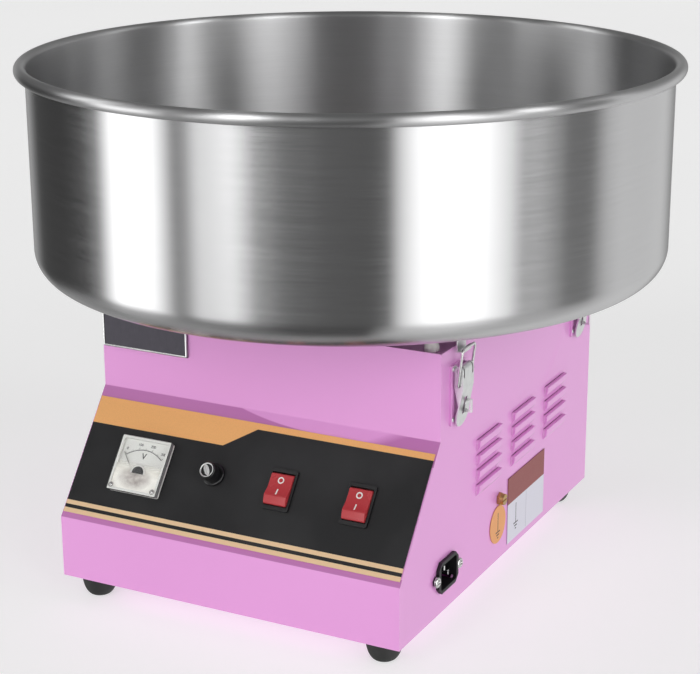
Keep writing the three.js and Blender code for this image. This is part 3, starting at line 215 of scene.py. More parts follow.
def lathe(profile: Outline, segments: int, closed: bool = False, with_uv: bool = False) -> Shape:
    """Turns a profile about Z: each point (r, z) becomes the circle (r cos a, r sin a, z).

    Args:
        profile: Radius and height of each point, in order along the outline.
        segments: Number of steps round the axis.
        closed: True if the outline's last point joins its first.
        with_uv: True for a UV whose V is the length along the outline in metres.

    Returns:
        The turned surface.
    """
    outline = np.asarray(profile, float)
    angle = circle(segments)
    radius, height = outline[:, :1], outline[:, 1:]
    points = np.stack([radius * np.cos(angle), radius * np.sin(angle), height + 0 * angle], -1)
    steps = np.hypot(*np.diff(outline, axis=0).T)
    lengths = np.concatenate([[0], np.cumsum(steps)]) * MM if with_uv else None
    return grid(points, wrap_rows=closed, wrap_columns=True, lengths=lengths)


def arc(centre: tuple[float, float], radius: float, start: float, end: float, steps: int) -> np.ndarray:
    """Points of an arc: centre + radius (cos t, sin t), for t from start to end in degrees."""
    t = np.radians(np.linspace(start, end, steps + 1))
    return np.stack([centre[0] + radius * np.cos(t), centre[1] + radius * np.sin(t)], -1)


def fillet(corners: Outline, radii: Sequence[float], steps: int = 5) -> np.ndarray:
    """Rounds the inner corners of an open outline with arcs.

    Each arc touches both edges, so its centre lies on the bisector at radius / sin(half angle).

    Args:
        corners: The outline's corners.
        radii: One radius for each inner corner; 0 keeps it sharp.
        steps: Number of steps of each arc.

    Returns:
        The rounded outline's points.
    """
    line = [np.asarray(corner, float) for corner in corners]
    parts = [line[:1]]
    for before, here, after, radius in zip(line, line[1:], line[2:], radii):
        back, ahead = before - here, after - here
        back, ahead = back / np.hypot(*back), ahead / np.hypot(*ahead)
        half = math.acos(float(np.clip(back @ ahead, -1, 1))) / 2
        nearly_straight = half > math.radians(89)
        if radius <= 0 or nearly_straight:
            parts.append([here])
            continue
        middle = (back + ahead) / np.hypot(*(back + ahead))
        centre = here + middle * radius / math.sin(half)
        first = here + back * radius / math.tan(half) - centre
        last = here + ahead * radius / math.tan(half) - centre
        start = math.degrees(math.atan2(first[1], first[0]))
        turn = (math.degrees(math.atan2(last[1], last[0])) - start + 180) % 360 - 180
        parts.append(arc(tuple(centre), radius, start, start + turn, steps))
    parts.append(line[-1:])
    return np.concatenate([np.asarray(part, float) for part in parts])


def post(radius: float, z0: float, z1: float, edge: float) -> Shape:
    """A plain round bar between two heights, with rounded edges."""
    return lathe(fillet([(0, z0), (radius, z0), (radius, z1), (0, z1)], [edge, edge]), 32)


def rounded_rectangle(width: float, height: float, radius: float, inset: float = 0.0) -> np.ndarray:
    """A rectangle with round corners about the origin, drawn in by an inset that keeps the number of points.

    Args:
        width: Its size along X.
        height: Its size along Y.
        radius: Radius of its corners before the inset.
        inset: How far it is drawn in.

    Returns:
        The points round it.
    """
    radius_in = max(radius - inset, 0.02)
    w, h = width / 2 - inset - radius_in, height / 2 - inset - radius_in
    quarters = (((w, h), 0), ((-w, h), 90), ((-w, -h), 180), ((w, -h), 270))
    return np.concatenate([arc(centre, radius_in, start, start + 90, CORNER_STEPS)
                           for centre, start in quarters])


def levels(loops: Sequence[tuple[np.ndarray, float]]) -> np.ndarray:
    """Rows of points of loops in X and Y, each lifted to its own height."""
    return np.array([np.column_stack([loop, np.full(len(loop), z)]) for loop, z in loops])


def stacked(loops: Sequence[tuple[np.ndarray, float]]) -> Shape:
    """A solid whose level curves are loops, each with its height, closed at both ends by their middles."""
    return grid(capped(levels(loops)), wrap_columns=True)


def rounded_plate(width: float, height: float, radius: float, z0: float, z1: float, edge: float) -> Shape:
    """A flat plate with round corners whose upper edge is rolled over.

    At t it is drawn in by edge (1 - cos t) and lies edge (1 - sin t) below the top.

    Args:
        width: Its size along X.
        height: Its size along Y.
        radius: Radius of its corners.
        z0: Height of its underside.
        z1: Height of its top.
        edge: Radius of the rolled edge.

    Returns:
        The closed plate.
    """
    t = np.linspace(0, np.pi / 2, ROLL_STEPS)
    insets = [0.0, *(edge * (1 - np.cos(t)))]
    heights = [z0, *(z1 - edge * (1 - np.sin(t)))]
    return stacked([(rounded_rectangle(width, height, radius, inset), z)
                    for inset, z in zip(insets, heights)])


def ring_frame(width: float, height: float, radius: float, section: Outline) -> Shape:
    """A closed section of (inset, z) carried round a rectangle with round corners."""
    rows = levels([(rounded_rectangle(width, height, radius, inset), z) for inset, z in section])
    return grid(rows, wrap_rows=True, wrap_columns=True)


def carried(loop: np.ndarray, x0: float, x1: float, edge: float) -> Shape:
    """A loop in Y and Z carried along X, its two ends rounded over.

    Near an end the loop is drawn towards its middle by edge (1 - sin t) while X moves by edge (1 - cos t).

    Args:
        loop: Points (y, z) of a loop that is seen whole from its middle.
        x0: First end.
        x1: Last end.
        edge: Radius of the rounded ends.

    Returns:
        The closed bar.
    """
    middle = loop.mean(0)
    spokes = loop - middle
    t = np.linspace(0, np.pi / 2, ROLL_STEPS)
    inset, shift = edge * (1 - np.sin(t)), edge * (1 - np.cos(t))
    drawn = np.concatenate([inset, inset[::-1]])[:, None, None]
    x = np.concatenate([x0 + shift, x1 - shift[::-1]])[:, None, None]
    loops = middle + spokes * (1 - drawn / np.hypot(*spokes.T)[:, None])
    rings = np.concatenate([np.broadcast_to(x, (len(x), len(loop), 1)), loops], -1)
    return grid(capped(rings), wrap_columns=True)


def directions(path: np.ndarray) -> np.ndarray:
    """Unit tangents of a path."""
    tangent = np.gradient(path, axis=0)
    return tangent / np.linalg.norm(tangent, axis=1, keepdims=True)


def tube(path: np.ndarray, plane_normal: Sequence[float], radius: float, sides: int = 14) -> Shape:
    """A round wire along a path that lies in one plane.

    Each ring is path + radius (cos a * normal + sin a * normal x tangent), and both ends close to a point.

    Args:
        path: Points of the wire's middle.
        plane_normal: Unit normal of the plane that the path lies in.
        radius: Radius of the wire.
        sides: Number of points round the wire.

    Returns:
        The closed wire.
    """
    normal = np.broadcast_to(np.asarray(plane_normal, float), path.shape)
    side = np.cross(normal, directions(path))
    angle = circle(sides)[None, :, None]
    rings = path[:, None] + radius * (np.cos(angle) * normal[:, None] + np.sin(angle) * side[:, None])
    return grid(capped(rings), wrap_columns=True)


def relief_disc(radius: float, rise: Callable[[np.ndarray, np.ndarray], np.ndarray], rings: int = 12,
                segments: int = 32) -> Shape:
    """A round head: its top is the height rise(x, y) over a disc, and its underside is flat.

    Args:
        radius: Radius of the disc.
        rise: Height of the top above a point, from whole arrays of x and y.
        rings: Number of rings from the middle to the edge.
        segments: Number of steps round it.

    Returns:
        The closed head, standing on Z = 0.
    """
    angle = circle(segments)
    r = radius * np.sqrt(np.linspace(0, 1, rings + 1))[:, None]
    x, y = r * np.cos(angle), r * np.sin(angle)
    top = np.stack([x, y, rise(x, y)], -1)
    rim = top[-1:] * np.array([1, 1, 0])
    return grid(np.concatenate([top, rim, 0 * rim]), wrap_columns=True)


def ribbon(path: Outline, width: float, z: float, thickness: float = 0.06) -> Shape:
    """A flat printed stroke along a path in X and Y.

    Args:
        path: Points of the stroke's middle.
        width: Width of the stroke.
        z: Height that it stands on.
        thickness: Thickness of the ink.

    Returns:
        The closed stroke.
    """
    line = np.asarray(path, float)
    side = directions(line) @ np.array([[0, 1], [-1, 0]]) * width / 2
    edges = ((line + side, z), (line + side, z + thickness), (line - side, z + thickness), (line - side, z))
    return grid(capped(np.swapaxes(levels(edges), 0, 1)), wrap_columns=True)


def smooth_step(x: np.ndarray, low: float, high: float) -> np.ndarray:
    """0 below low, 1 above high, and 3 t squared - 2 t cubed between them."""
    t = np.clip((x - low) / (high - low), 0, 1)
    return t * t * (3 - 2 * t)


@dataclass(frozen=True)
class PanHead:
    """A pan-head screw with a cross recess or a straight slot, which are shares of its radius and height."""

    radius: float
    height: float
    slotted: bool = False
    slot_share: float = 0.1
    slot_depth: float = 0.5
    cross_reach: float = 0.62
    cross_width: float = 0.2
    cross_depth: float = 0.6

    def rise(self, x: np.ndarray, y: np.ndarray) -> np.ndarray:
        """Height of the head: height (1 - (r / radius) ^ 4) ^ 0.5, less the recess or the slot.

        The cross is two arms, deepest along their middles, that fade out between 0.6 and 1 of their reach.

        Args:
            x: First coordinates of the points.
            y: Second coordinates of the points.

        Returns:
            The height above each point.
        """
        distance = np.hypot(x, y)
        dome = self.height * np.sqrt(np.clip(1 - (distance / self.radius) ** 4, 0, 1))
        if self.slotted:
            slot = self.slot_share * self.radius
            return dome - self.slot_depth * self.height * (1 - smooth_step(np.abs(y), slot, 1.6 * slot))
        width, reach = self.cross_width * self.radius, self.cross_reach * self.radius
        arms = np.maximum(*(1 - smooth_step(np.abs(value), width / 2, width) for value in (x, y)))
        return dome - self.cross_depth * self.height * arms * (1 - smooth_step(distance, 0.6 * reach, reach))

    def shape(self) -> Shape:
        """The whole head, standing on Z = 0."""
        return relief_disc(self.radius, self.rise, rings=16, segments=40)


# Measures, some read from the imported solids


def node_box(node: str) -> tuple[np.ndarray, np.ndarray]:
    """Lowest and highest corner of a solid, in millimetres."""
    low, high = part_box(node)
    return np.array(low) / MM, np.array(high) / MM


SHELL_LOW, SHELL_HIGH = node_box("housing_shell")
NAME_LOW, NAME_HIGH = node_box("name_plate")
BASE_Z = float(SHELL_LOW[2])
WALL_TOP_Z = float(SHELL_HIGH[2])
REAR_Y = float(SHELL_HIGH[1])
PLINTH_Y = float(SHELL_LOW[1])
NAME_INSET = 1.5
NAME_DEPTH = 0.3
SIDE_X = NAME_INSET - float(NAME_LOW[0])
FRONT_Y = float(NAME_HIGH[1]) + NAME_DEPTH
CREASE_Z = 155.0
PLINTH_TOP_Z = 67.0
CONTROL_SEAT = 1.1
PANEL_TILT = math.degrees(math.atan2(CREASE_Z - PLINTH_TOP_Z, FRONT_Y - PLINTH_Y))
PANEL = Placement((0.0, FRONT_Y, CREASE_Z)).turned(PANEL_TILT)
CONTROLS = PANEL.moved(0, 0, CONTROL_SEAT)
METER = CONTROLS.moved(-87.9, -60.8, 0)
FUSE = CONTROLS.moved(-25.5, -55.8, 0)


def side_wall(side: int, y: float, z: float) -> Placement:
    """A frame on a side wall: X out of it, Y along it and Z up."""
    return Placement((side * SIDE_X, y, z), ((side, 0, 0), (0, side, 0), (0, 0, 1)))


# Putting shapes into the scene


def finished_mesh(name: str, shape: Shape, crease: float) -> bpy.types.Mesh:
    """Makes a mesh of a shape that is in the machine's frame.

    Points that fall together, at seams and poles, are merged, and faces are turned to point outwards.

    Args:
        name: Name of the mesh.
        shape: The shape, in millimetres.
        crease: Angle in degrees above which an edge stays sharp.

    Returns:
        The mesh, in metres.
    """
    mesh = bpy.data.meshes.new(name)
    mesh.vertices.add(len(shape.points))
    mesh.vertices.foreach_set("co", (shape.points * MM).astype(np.float32).ravel())
    mesh.loops.add(shape.quads.size)
    mesh.loops.foreach_set("vertex_index", shape.quads.astype(np.int32).ravel())
    mesh.polygons.add(len(shape.quads))
    mesh.polygons.foreach_set("loop_start", np.arange(0, shape.quads.size, 4, dtype=np.int32))
    if shape.uv is not None:
        layer = mesh.uv_layers.new(name="along")
        layer.data.foreach_set("uv", shape.uv.astype(np.float32).ravel())
    mesh.update(calc_edges=True)
    work = bmesh.new()
    work.from_mesh(mesh)
    bmesh.ops.remove_doubles(work, verts=work.verts, dist=SEAM)
    bmesh.ops.recalc_face_normals(work, faces=work.faces)
    work.to_mesh(mesh)
    work.free()
    smooth(mesh, crease)
    return mesh


def smooth(mesh: bpy.types.Mesh, crease: float) -> None:
    """Shades a mesh smooth, apart from edges over the crease angle in degrees."""
    mesh.polygons.foreach_set("use_smooth", np.ones(len(mesh.polygons), bool))
    mesh.set_sharp_from_angle(angle=math.radians(crease))


def coat(mesh: bpy.types.Mesh, finish: "Finish") -> None:
    """Gives a mesh one finish."""
    mesh.materials.clear()
    mesh.materials.append(finish.material())


def install(name: str, mesh: bpy.types.Mesh, finish: "Finish", body: Body | str = Body.HOUSING,
            replaces: Sequence[str] = ()) -> bpy.types.Object:
    """Puts a mesh into the scene as a piece of the machine.

    Args:
        name: Name of the piece.
        mesh: Its mesh, in the machine's frame.
        finish: Its finish.
        body: The body that it moves with.
        replaces: Names of the solids that it stands for.

    Returns:
        The new object.
    """
    rider = body.value if isinstance(body, Body) else body
    piece = bpy.data.objects.new(name, mesh)
    bpy.context.scene.collection.objects.link(piece)
    coat(mesh, finish)
    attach(piece, rider)
    if replaces:
        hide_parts(*replaces)
    LOG.info("%s: %d faces, rides on %s", name, len(mesh.polygons), rider)
    return piece


def add(name: str, shape: Shape, finish: "Finish", place: Placement = Placement(),
        replaces: Sequence[str] = (), body: Body | str = Body.HOUSING, crease: float = 40.0) -> None:
    """Makes a piece of a shape that is given in a sub-assembly's frame.

    Args:
        name: Name of the piece.
        shape: The shape.
        finish: Its finish.
        place: The sub-assembly's frame.
        replaces: Names of the solids that it stands for.
        body: The body that it moves with.
        crease: Angle in degrees above which an edge stays sharp.
    """
    install(name, finished_mesh(name, shape.placed(place), crease), finish, body, replaces)


def crisp(node: str, finish: "Finish", edge: float, body: Body | str = Body.HOUSING, steps: int = 2,
          limit: float = 33.0) -> None:
    """Stands for a solid by a copy whose edges are rounded.

    The copy's loose triangles are merged, its flat faces joined, and each edge over the limit is rounded.

    Args:
        node: Name of the solid.
        finish: The finish.
        edge: Width of the rounded edges in millimetres.
        body: The body that it moves with.
        steps: Number of faces across a rounded edge.
        limit: Angle in degrees above which an edge is rounded.
    """
    name = f"{node}_crisp"
    work = bmesh.new()
    work.from_mesh(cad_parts[node].data)
    bmesh.ops.remove_doubles(work, verts=work.verts, dist=SOLID_SEAM)
    flat = math.radians(FLAT_ANGLE)
    bmesh.ops.dissolve_limit(work, angle_limit=flat, verts=work.verts, edges=work.edges)
    mesh = bpy.data.meshes.new(name)
    work.to_mesh(mesh)
    work.free()
    smooth(mesh, limit)
    piece = install(name, mesh, finish, body, [node])
    bevel = piece.modifiers.new("rounded_edges", "BEVEL")
    bevel.width = edge * MM
    bevel.segments = steps
    bevel.limit_method = "ANGLE"
    bevel.angle_limit = math.radians(limit)
    bevel.harden_normals = True
    bevel.use_clamp_overlap = True


def dress(node: str, finish: "Finish") -> None:
    """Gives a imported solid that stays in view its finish."""
    coat(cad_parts[node].data, finish)


# Node trees


class Graph:
    """Adds nodes to one tree and links them."""

    def __init__(self, tree: bpy.types.NodeTree) -> None:
        """Takes the tree to work on."""
        self.tree = tree

    def node(self, kind: str, inputs: dict | None = None, **settings: object) -> bpy.types.Node:
        """Adds a node.

        Args:
            kind: Blender's name of the node type.
            inputs: A value or a socket to link for each named or numbered input.
            **settings: Properties of the node.

        Returns:
            The new node.
        """
        node = self.tree.nodes.new(kind)
        for name, value in settings.items():
            setattr(node, name, value)
        for name, value in (inputs or {}).items():
            self.feed(node.inputs[name], value)
        return node

    def feed(self, socket: Socket, value: object) -> None:
        """Links a socket to an output, or sets its value.

        Args:
            socket: The input.
            value: The output or the value.
        """
        if isinstance(value, Socket):
            self.tree.links.new(value, socket)
        else:
            socket.default_value = value

    def math(self, operation: str, *values: object, clamp: bool = False) -> Socket:
        """Result of a Math node on up to three values."""
        node = self.node("ShaderNodeMath", dict(enumerate(values)), operation=operation, use_clamp=clamp)
        return node.outputs[0]

    def times(self, first: object, second: object) -> Socket:
        """Product of two values."""
        return self.math("MULTIPLY", first, second)

    def mix(self, factor: object, first: object, second: object) -> Socket:
        """Blends two colours.

        Args:
            factor: Share of the second colour.
            first: A colour or a socket.
            second: A colour or a socket.

        Returns:
            The blended colour.
        """
        node = self.node("ShaderNodeMix", data_type="RGBA")
        for index, value in ((0, factor), (6, first), (7, second)):
            self.feed(node.inputs[index], (*value, 1.0) if isinstance(value, tuple) else value)
        return node.outputs[2]

    def noise(self, vector: Socket, scale: object, detail: float = 3.0, roughness: float = 0.5) -> Socket:
        """Value of a Noise Texture, about 0.5 on average."""
        inputs = {"Vector": vector, "Scale": scale, "Detail": detail, "Roughness": roughness}
        return self.node("ShaderNodeTexNoise", inputs).outputs["Fac"]

    def cells(self, vector: Socket, scale: object) -> Socket:
        """Distance to the nearest point of a Voronoi Texture."""
        return self.node("ShaderNodeTexVoronoi", {"Vector": vector, "Scale": scale}).outputs["Distance"]

    def span(self, value: object, low: float, high: float, start: float = 0.0, end: float = 1.0) -> Socket:
        """A value mapped from low..high to start..end, held at both ends."""
        inputs = {"Value": value, "From Min": low, "From Max": high, "To Min": start, "To Max": end}
        return self.node("ShaderNodeMapRange", inputs).outputs[0]

    def split(self, vector: Socket) -> tuple[Socket, ...]:
        """The X, Y and Z of a vector."""
        return tuple(self.node("ShaderNodeSeparateXYZ", {0: vector}).outputs)

    def vector(self, x: object, y: object, z: object) -> Socket:
        """A vector of three values."""
        return self.node("ShaderNodeCombineXYZ", {0: x, 1: y, 2: z}).outputs[0]

    def radius(self, x: Socket, y: Socket) -> Socket:
        """Distance from the Z axis: the root of x squared plus y squared."""
        squares = self.math("MULTIPLY_ADD", x, x, self.times(y, y))
        return self.math("SQRT", squares)

    def place(self) -> Socket:
        """Object coordinates, in metres."""
        return self.node("ShaderNodeTexCoord").outputs["Object"]

    def local(self, place: Placement) -> Socket:
        """Object coordinates in a sub-assembly's frame.

        Args:
            place: The frame.

        Returns:
            The coordinates, in metres.
        """
        inputs = {"Vector": self.place(), "Location": tuple(np.array(place.origin) * MM),
                  "Rotation": tuple(Matrix(np.array(place.axes).T.tolist()).to_euler("XYZ"))}
        return self.node("ShaderNodeMapping", inputs, vector_type="TEXTURE").outputs[0]

    def bump(self, height: object, strength: float, distance: float) -> Socket:
        """Normal of a height map, with its distance in millimetres."""
        inputs = {"Height": height, "Strength": strength, "Distance": distance * MM}
        return self.node("ShaderNodeBump", inputs).outputs[0]

    def effect(self, group: "Effect", **inputs: object) -> bpy.types.NodeOutputs:
        """Outputs of a shared effect that is placed with its own values."""
        return self.node("ShaderNodeGroup", inputs, node_tree=group.tree()).outputs


class Surface(Graph):
    """The graph of a material, with its Principled shader."""

    def __init__(self, material: bpy.types.Material, roughness: float) -> None:
        """Starts the material with its shader.

        Args:
            material: The material.
            roughness: The shader's roughness, unless something is linked to it.
        """
        material.use_nodes = True
        material.node_tree.nodes.clear()
        super().__init__(material.node_tree)
        self.shader = self.node("ShaderNodeBsdfPrincipled", {"Roughness": roughness})
        self.end = self.node("ShaderNodeOutputMaterial", {"Surface": self.shader.outputs[0]})

    def put(self, **values: object) -> None:
        """Links or sets the shader's inputs; a name's underscores stand for spaces."""
        for name, value in values.items():
            self.feed(self.shader.inputs[name.replace("_", " ")], value)


@dataclass(frozen=True)
class Effect:
    """A shared surface effect as a node group, built once from a Vector and some values."""

    name: str
    values: tuple[str, ...]
    wire: Callable[[Graph, Sockets], Sockets]

    def tree(self) -> bpy.types.NodeTree:
        """The group's tree.

        Returns:
            The tree of this name, made at its first use.
        """
        if self.name in bpy.data.node_groups:
            return bpy.data.node_groups[self.name]
        tree = bpy.data.node_groups.new(self.name, "ShaderNodeTree")
        tree.interface.new_socket("Vector", in_out="INPUT", socket_type="NodeSocketVector")
        for name in self.values:
            tree.interface.new_socket(name, in_out="INPUT", socket_type="NodeSocketFloat")
        entry, leave = tree.nodes.new("NodeGroupInput"), tree.nodes.new("NodeGroupOutput")
        graph = Graph(tree)
        results = self.wire(graph, {name: entry.outputs[name] for name in ("Vector", *self.values)})
        for name, socket in results.items():
            tree.interface.new_socket(name, in_out="OUTPUT", socket_type="NodeSocketFloat")
            graph.feed(leave.inputs[name], socket)
        return tree


def wire_brushing(graph: Graph, given: Sockets) -> Sockets:
    """Two sizes of long streaks: noise whose vector is stretched by Stretch along its Z.

    Args:
        graph: The group's graph.
        given: Vector, Scale and Stretch.

    Returns:
        The Streak from 0 to 1, and the Height of the finer lines.
    """
    x, y, z = graph.split(given["Vector"])
    lines = graph.vector(x, y, graph.times(z, given["Stretch"]))
    fine = graph.noise(lines, given["Scale"])
    broad = graph.noise(lines, graph.times(given["Scale"], 0.17), 2.0)
    streak = graph.math("MULTIPLY_ADD", fine, 0.6, graph.times(broad, 0.4))
    return {"Streak": graph.span(streak, 0.3, 0.7), "Height": fine}


def wire_grain(graph: Graph, given: Sockets) -> Sockets:
    """Moulded or sprayed texture: soft noise over the ridges of a Voronoi pattern.

    Args:
        graph: The group's graph.
        given: Vector and Scale.

    Returns:
        The Height of the grain, and a Speckle from 0 to 1 that follows its cells.
    """
    cells = graph.cells(given["Vector"], given["Scale"])
    height = graph.math("MULTIPLY_ADD", cells, 0.5, graph.noise(given["Vector"], given["Scale"], 2.0))
    return {"Height": height, "Speckle": graph.span(cells, 0.2, 0.8)}


def wire_handling(graph: Graph, given: Sockets) -> Sockets:
    """Wiped dust and finger marks: broad soft patches, and small specks 40 times as dense.

    Args:
        graph: The group's graph.
        given: Vector, Scale and Amount.

    Returns:
        The Mask from 0 to Amount.
    """
    broad = graph.span(graph.noise(given["Vector"], given["Scale"], 5.0), 0.42, 0.68)
    cells = graph.cells(given["Vector"], graph.times(given["Scale"], 40.0))
    specks = graph.times(graph.math("LESS_THAN", cells, 0.05), 0.5)
    mask = graph.math("MULTIPLY_ADD", broad, 0.8, specks, clamp=True)
    return {"Mask": graph.times(mask, given["Amount"])}


def wire_wear(graph: Graph, given: Sockets) -> Sockets:
    """Rubbed edges: where a rounded normal leaves the true one, broken up by noise.

    Args:
        graph: The group's graph.
        given: Vector, and the Radius of the rounding in metres.

    Returns:
        The Mask, 1 on the edges.
    """
    rounded = graph.node("ShaderNodeBevel", {"Radius": given["Radius"]}, samples=3).outputs[0]
    true = graph.node("ShaderNodeNewGeometry").outputs["Normal"]
    dot = graph.node("ShaderNodeVectorMath", {0: rounded, 1: true}, operation="DOT_PRODUCT").outputs["Value"]
    broken = graph.span(graph.noise(given["Vector"], 900.0, 4.0, 0.7), 0.4, 0.65)
    return {"Mask": graph.times(graph.span(dot, 0.995, 0.9), broken)}


BRUSHING = Effect("brushing", ("Scale", "Stretch"), wire_brushing)
GRAIN = Effect("grain", ("Scale",), wire_grain)
HANDLING = Effect("handling", ("Scale", "Amount"), wire_handling)
WEAR = Effect("edge_wear", ("Radius",), wire_wear)


# Finishes


def scaled(colour: Colour, share: float | Colour) -> Colour:
    """A colour times a share, or each part of it times its own share, held below white."""
    return tuple(min(1.0, float(value)) for value in np.multiply(colour, share))


@dataclass(frozen=True)
class Finish:
    """A named finish, a slot name, and the wiped dust on it.

    The dust lies in patches of a scale and a strength, and dulling is how much rougher it makes the surface.
    """

    name: str
    slot: str
    colour: Colour
    roughness: float = 0.4
    dust_scale: float = 14.0
    dust: float = 0.5
    dulling: float = 0.15

    def material(self) -> bpy.types.Material:
        """The Blender material.

        Returns:
            The material of this name, made at its first use.
        """
        if self.name in bpy.data.materials:
            return bpy.data.materials[self.name]
        material = bpy.data.materials.new(self.name)
        self.wire(Surface(material, self.roughness))
        return material

    def wire(self, graph: Surface) -> None:
        """Feeds the shader; each kind of finish has its own way."""
        raise NotImplementedError

    def darker(self, share: float) -> Colour:
        """The finish's colour times a share."""
        return scaled(self.colour, share)

    def roughen(self, graph: Surface, mask: Socket, rise: float, start: float = 0.0) -> None:
        """Adds start to the roughness where a mask is 0, and rise where it is 1."""
        graph.put(Roughness=graph.span(mask, 0, 1, self.roughness + start, self.roughness + rise))

    def dusted(self, graph: Graph) -> Socket:
        """Mask of the wiped dust."""
        return graph.effect(HANDLING, Vector=graph.place(), Scale=self.dust_scale, Amount=self.dust)["Mask"]


@dataclass(frozen=True)
class Paint(Finish):
    """Sprayed gloss enamel on sheet steel, with a faint orange peel and wiped dust."""

    dust_scale: float = 9.0
    dulling: float = 0.14
    drift_scale: float = 5.0
    drift_share: float = 0.965
    # Paler pink on the edges: partly rubbed paint, partly a painted highlight along the folds.
    rubbed: Colour = (0.95, 0.8, 0.93)
    rubbed_and_highlight_share: float = 0.5
    rubbed_radius: float = 0.5
    peel: float = 0.05
    peel_scale: float = 520.0
    peel_depth: float = 0.25
    coat: float = 0.3
    coat_roughness: float = 0.08

    def tone(self, graph: Graph, colour: Socket) -> Socket:
        """The enamel's colour, the same on all panels."""
        return colour

    def wire(self, graph: Surface) -> None:
        """Colour drifts a little over the panels; edges turn a paler pink, partly rubbed paint and partly a
        painted highlight along the folds; dust and finger marks dull the gloss.

        Args:
            graph: The material's graph.
        """
        place = graph.place()
        drift = graph.span(graph.noise(place, self.drift_scale), 0.3, 0.7)
        colour = graph.mix(drift, self.darker(self.drift_share), self.colour)
        # Edge mask for the paler pink: rubbed paint and painted highlight together.
        wear = graph.effect(WEAR, Vector=place, Radius=self.rubbed_radius * MM)["Mask"]
        colour = graph.mix(graph.times(wear, self.rubbed_and_highlight_share), colour, self.rubbed)
        graph.put(Base_Color=self.tone(graph, colour))
        self.roughen(graph, self.dusted(graph), self.dulling)
        peel = graph.effect(GRAIN, Vector=place, Scale=self.peel_scale)["Height"]
        graph.put(Normal=graph.bump(peel, self.peel, self.peel_depth))
        graph.put(Coat_Weight=self.coat, Coat_Roughness=self.coat_roughness)


@dataclass(frozen=True)
class SlopeShadedPaint(Paint):
    """The housing's enamel, with painted shade on the strips of the slope that the overlay leaves bare, for
    the bowl's shadow and its dark reflection in the gloss.

    Lengths are in millimetres: U across the slope, V down it from its upper edge.
    """

    # Colour factor of the painted shade that stands for the bowl's shadow on the slope.
    slope_shade: Colour = (0.65, 0.5, 0.62)
    lower_strip: tuple[float, float] = (104.0, 110.2)
    upper_strip: float = 10.0
    curve_start: float = -20.0
    curve_end: float = 70.0
    curve_power: float = 2.5
    slant: tuple[float, float] = (105.0, 122.0)
    off_slope: float = 0.5

    def tone(self, graph: Graph, colour: Socket) -> Socket:
        """Paints shade on both strips of the slope, where the bowl's underside shades them and darkens their
        gloss.

        The upper strip takes the painted shade under a curve that leaves the slope's edge and flattens,
        V = strip (1 - (1 - t) ^ power) with t from 0 to 1 between the curve's ends, and again past a slanted
        line near the right wall.

        Args:
            graph: The material's graph.
            colour: The enamel's colour.

        Returns:
            The colour with its painted shade.
        """
        x, y, z = graph.split(graph.local(PANEL))
        u, v = graph.math("DIVIDE", x, MM), graph.math("DIVIDE", y, -MM)
        left = graph.span(u, self.curve_start, self.curve_end, 1.0, 0.0)
        bend = graph.math("POWER", left, self.curve_power)
        curve = graph.math("MULTIPLY_ADD", bend, -self.upper_strip, self.upper_strip)
        under_curve = graph.span(graph.math("SUBTRACT", v, curve), 0.0, 0.9)
        past_slant = graph.span(graph.math("MULTIPLY_ADD", v, 2.0, u), *self.slant)
        shaded = graph.times(graph.math("MAXIMUM", under_curve, past_slant), graph.span(v, 0.2, 0.6))
        upper = graph.times(shaded, graph.math("LESS_THAN", v, 2 * self.upper_strip))
        start, end = self.lower_strip
        lower = graph.times(graph.span(v, start, start + 0.2), graph.span(v, end + 0.2, end))
        on_slope = graph.math("LESS_THAN", graph.math("ABSOLUTE", z), self.off_slope * MM)
        strips = graph.times(graph.math("MAXIMUM", upper, lower), on_slope)
        # Painted shade: the bare strips are mixed towards the darker pink.
        return graph.mix(strips, colour, scaled(self.colour, self.slope_shade))


@dataclass(frozen=True)
class SpunSheet(Finish):
    """Stainless sheet brushed round the axis as it was spun, with streaks along the turning direction.

    The inside, past a length in metres along the outline, is brushed more coarsely than the outside.
    """

    dust_scale: float = 7.0
    dust: float = 0.4
    anisotropy: float = 1.0
    quarter_turn: float = 0.25
    inside_from: float = 1.0
    inside_roughness: float = 0.3
    step: float = 0.002
    streak_scale: float = 9.0
    streak_stretch: float = 180.0

    def wire(self, graph: Surface) -> None:
        """Streaks follow the unit circle round Z and change quickly along the sheet's outline.

        Args:
            graph: The material's graph.
        """
        x, y, _ = graph.split(graph.place())
        radius = graph.radius(x, y)
        along = graph.split(graph.node("ShaderNodeUVMap", uv_map="along").outputs[0])[1]
        around = graph.vector(graph.math("DIVIDE", x, radius), graph.math("DIVIDE", y, radius), along)
        brush = graph.effect(BRUSHING, Vector=around, Scale=self.streak_scale, Stretch=self.streak_stretch)
        dust = self.dusted(graph)
        colour = graph.mix(brush["Streak"], self.darker(0.93), self.colour)
        graph.put(Base_Color=graph.mix(dust, colour, self.darker(0.9)))
        side = graph.span(along, self.inside_from - self.step, self.inside_from + self.step,
                          self.roughness, self.inside_roughness)
        worn = graph.math("MULTIPLY_ADD", dust, 0.04, side)
        graph.put(Roughness=graph.math("ADD", worn, graph.span(brush["Streak"], 0, 1, -0.02, 0.03)))
        graph.put(Normal=graph.bump(brush["Height"], 0.12, 0.02))
        tangent = graph.node("ShaderNodeTangent", direction_type="UV_MAP", uv_map="along")
        graph.put(Tangent=tangent.outputs[0], Metallic=1.0, Anisotropic=self.anisotropy,
                  Anisotropic_Rotation=self.quarter_turn)


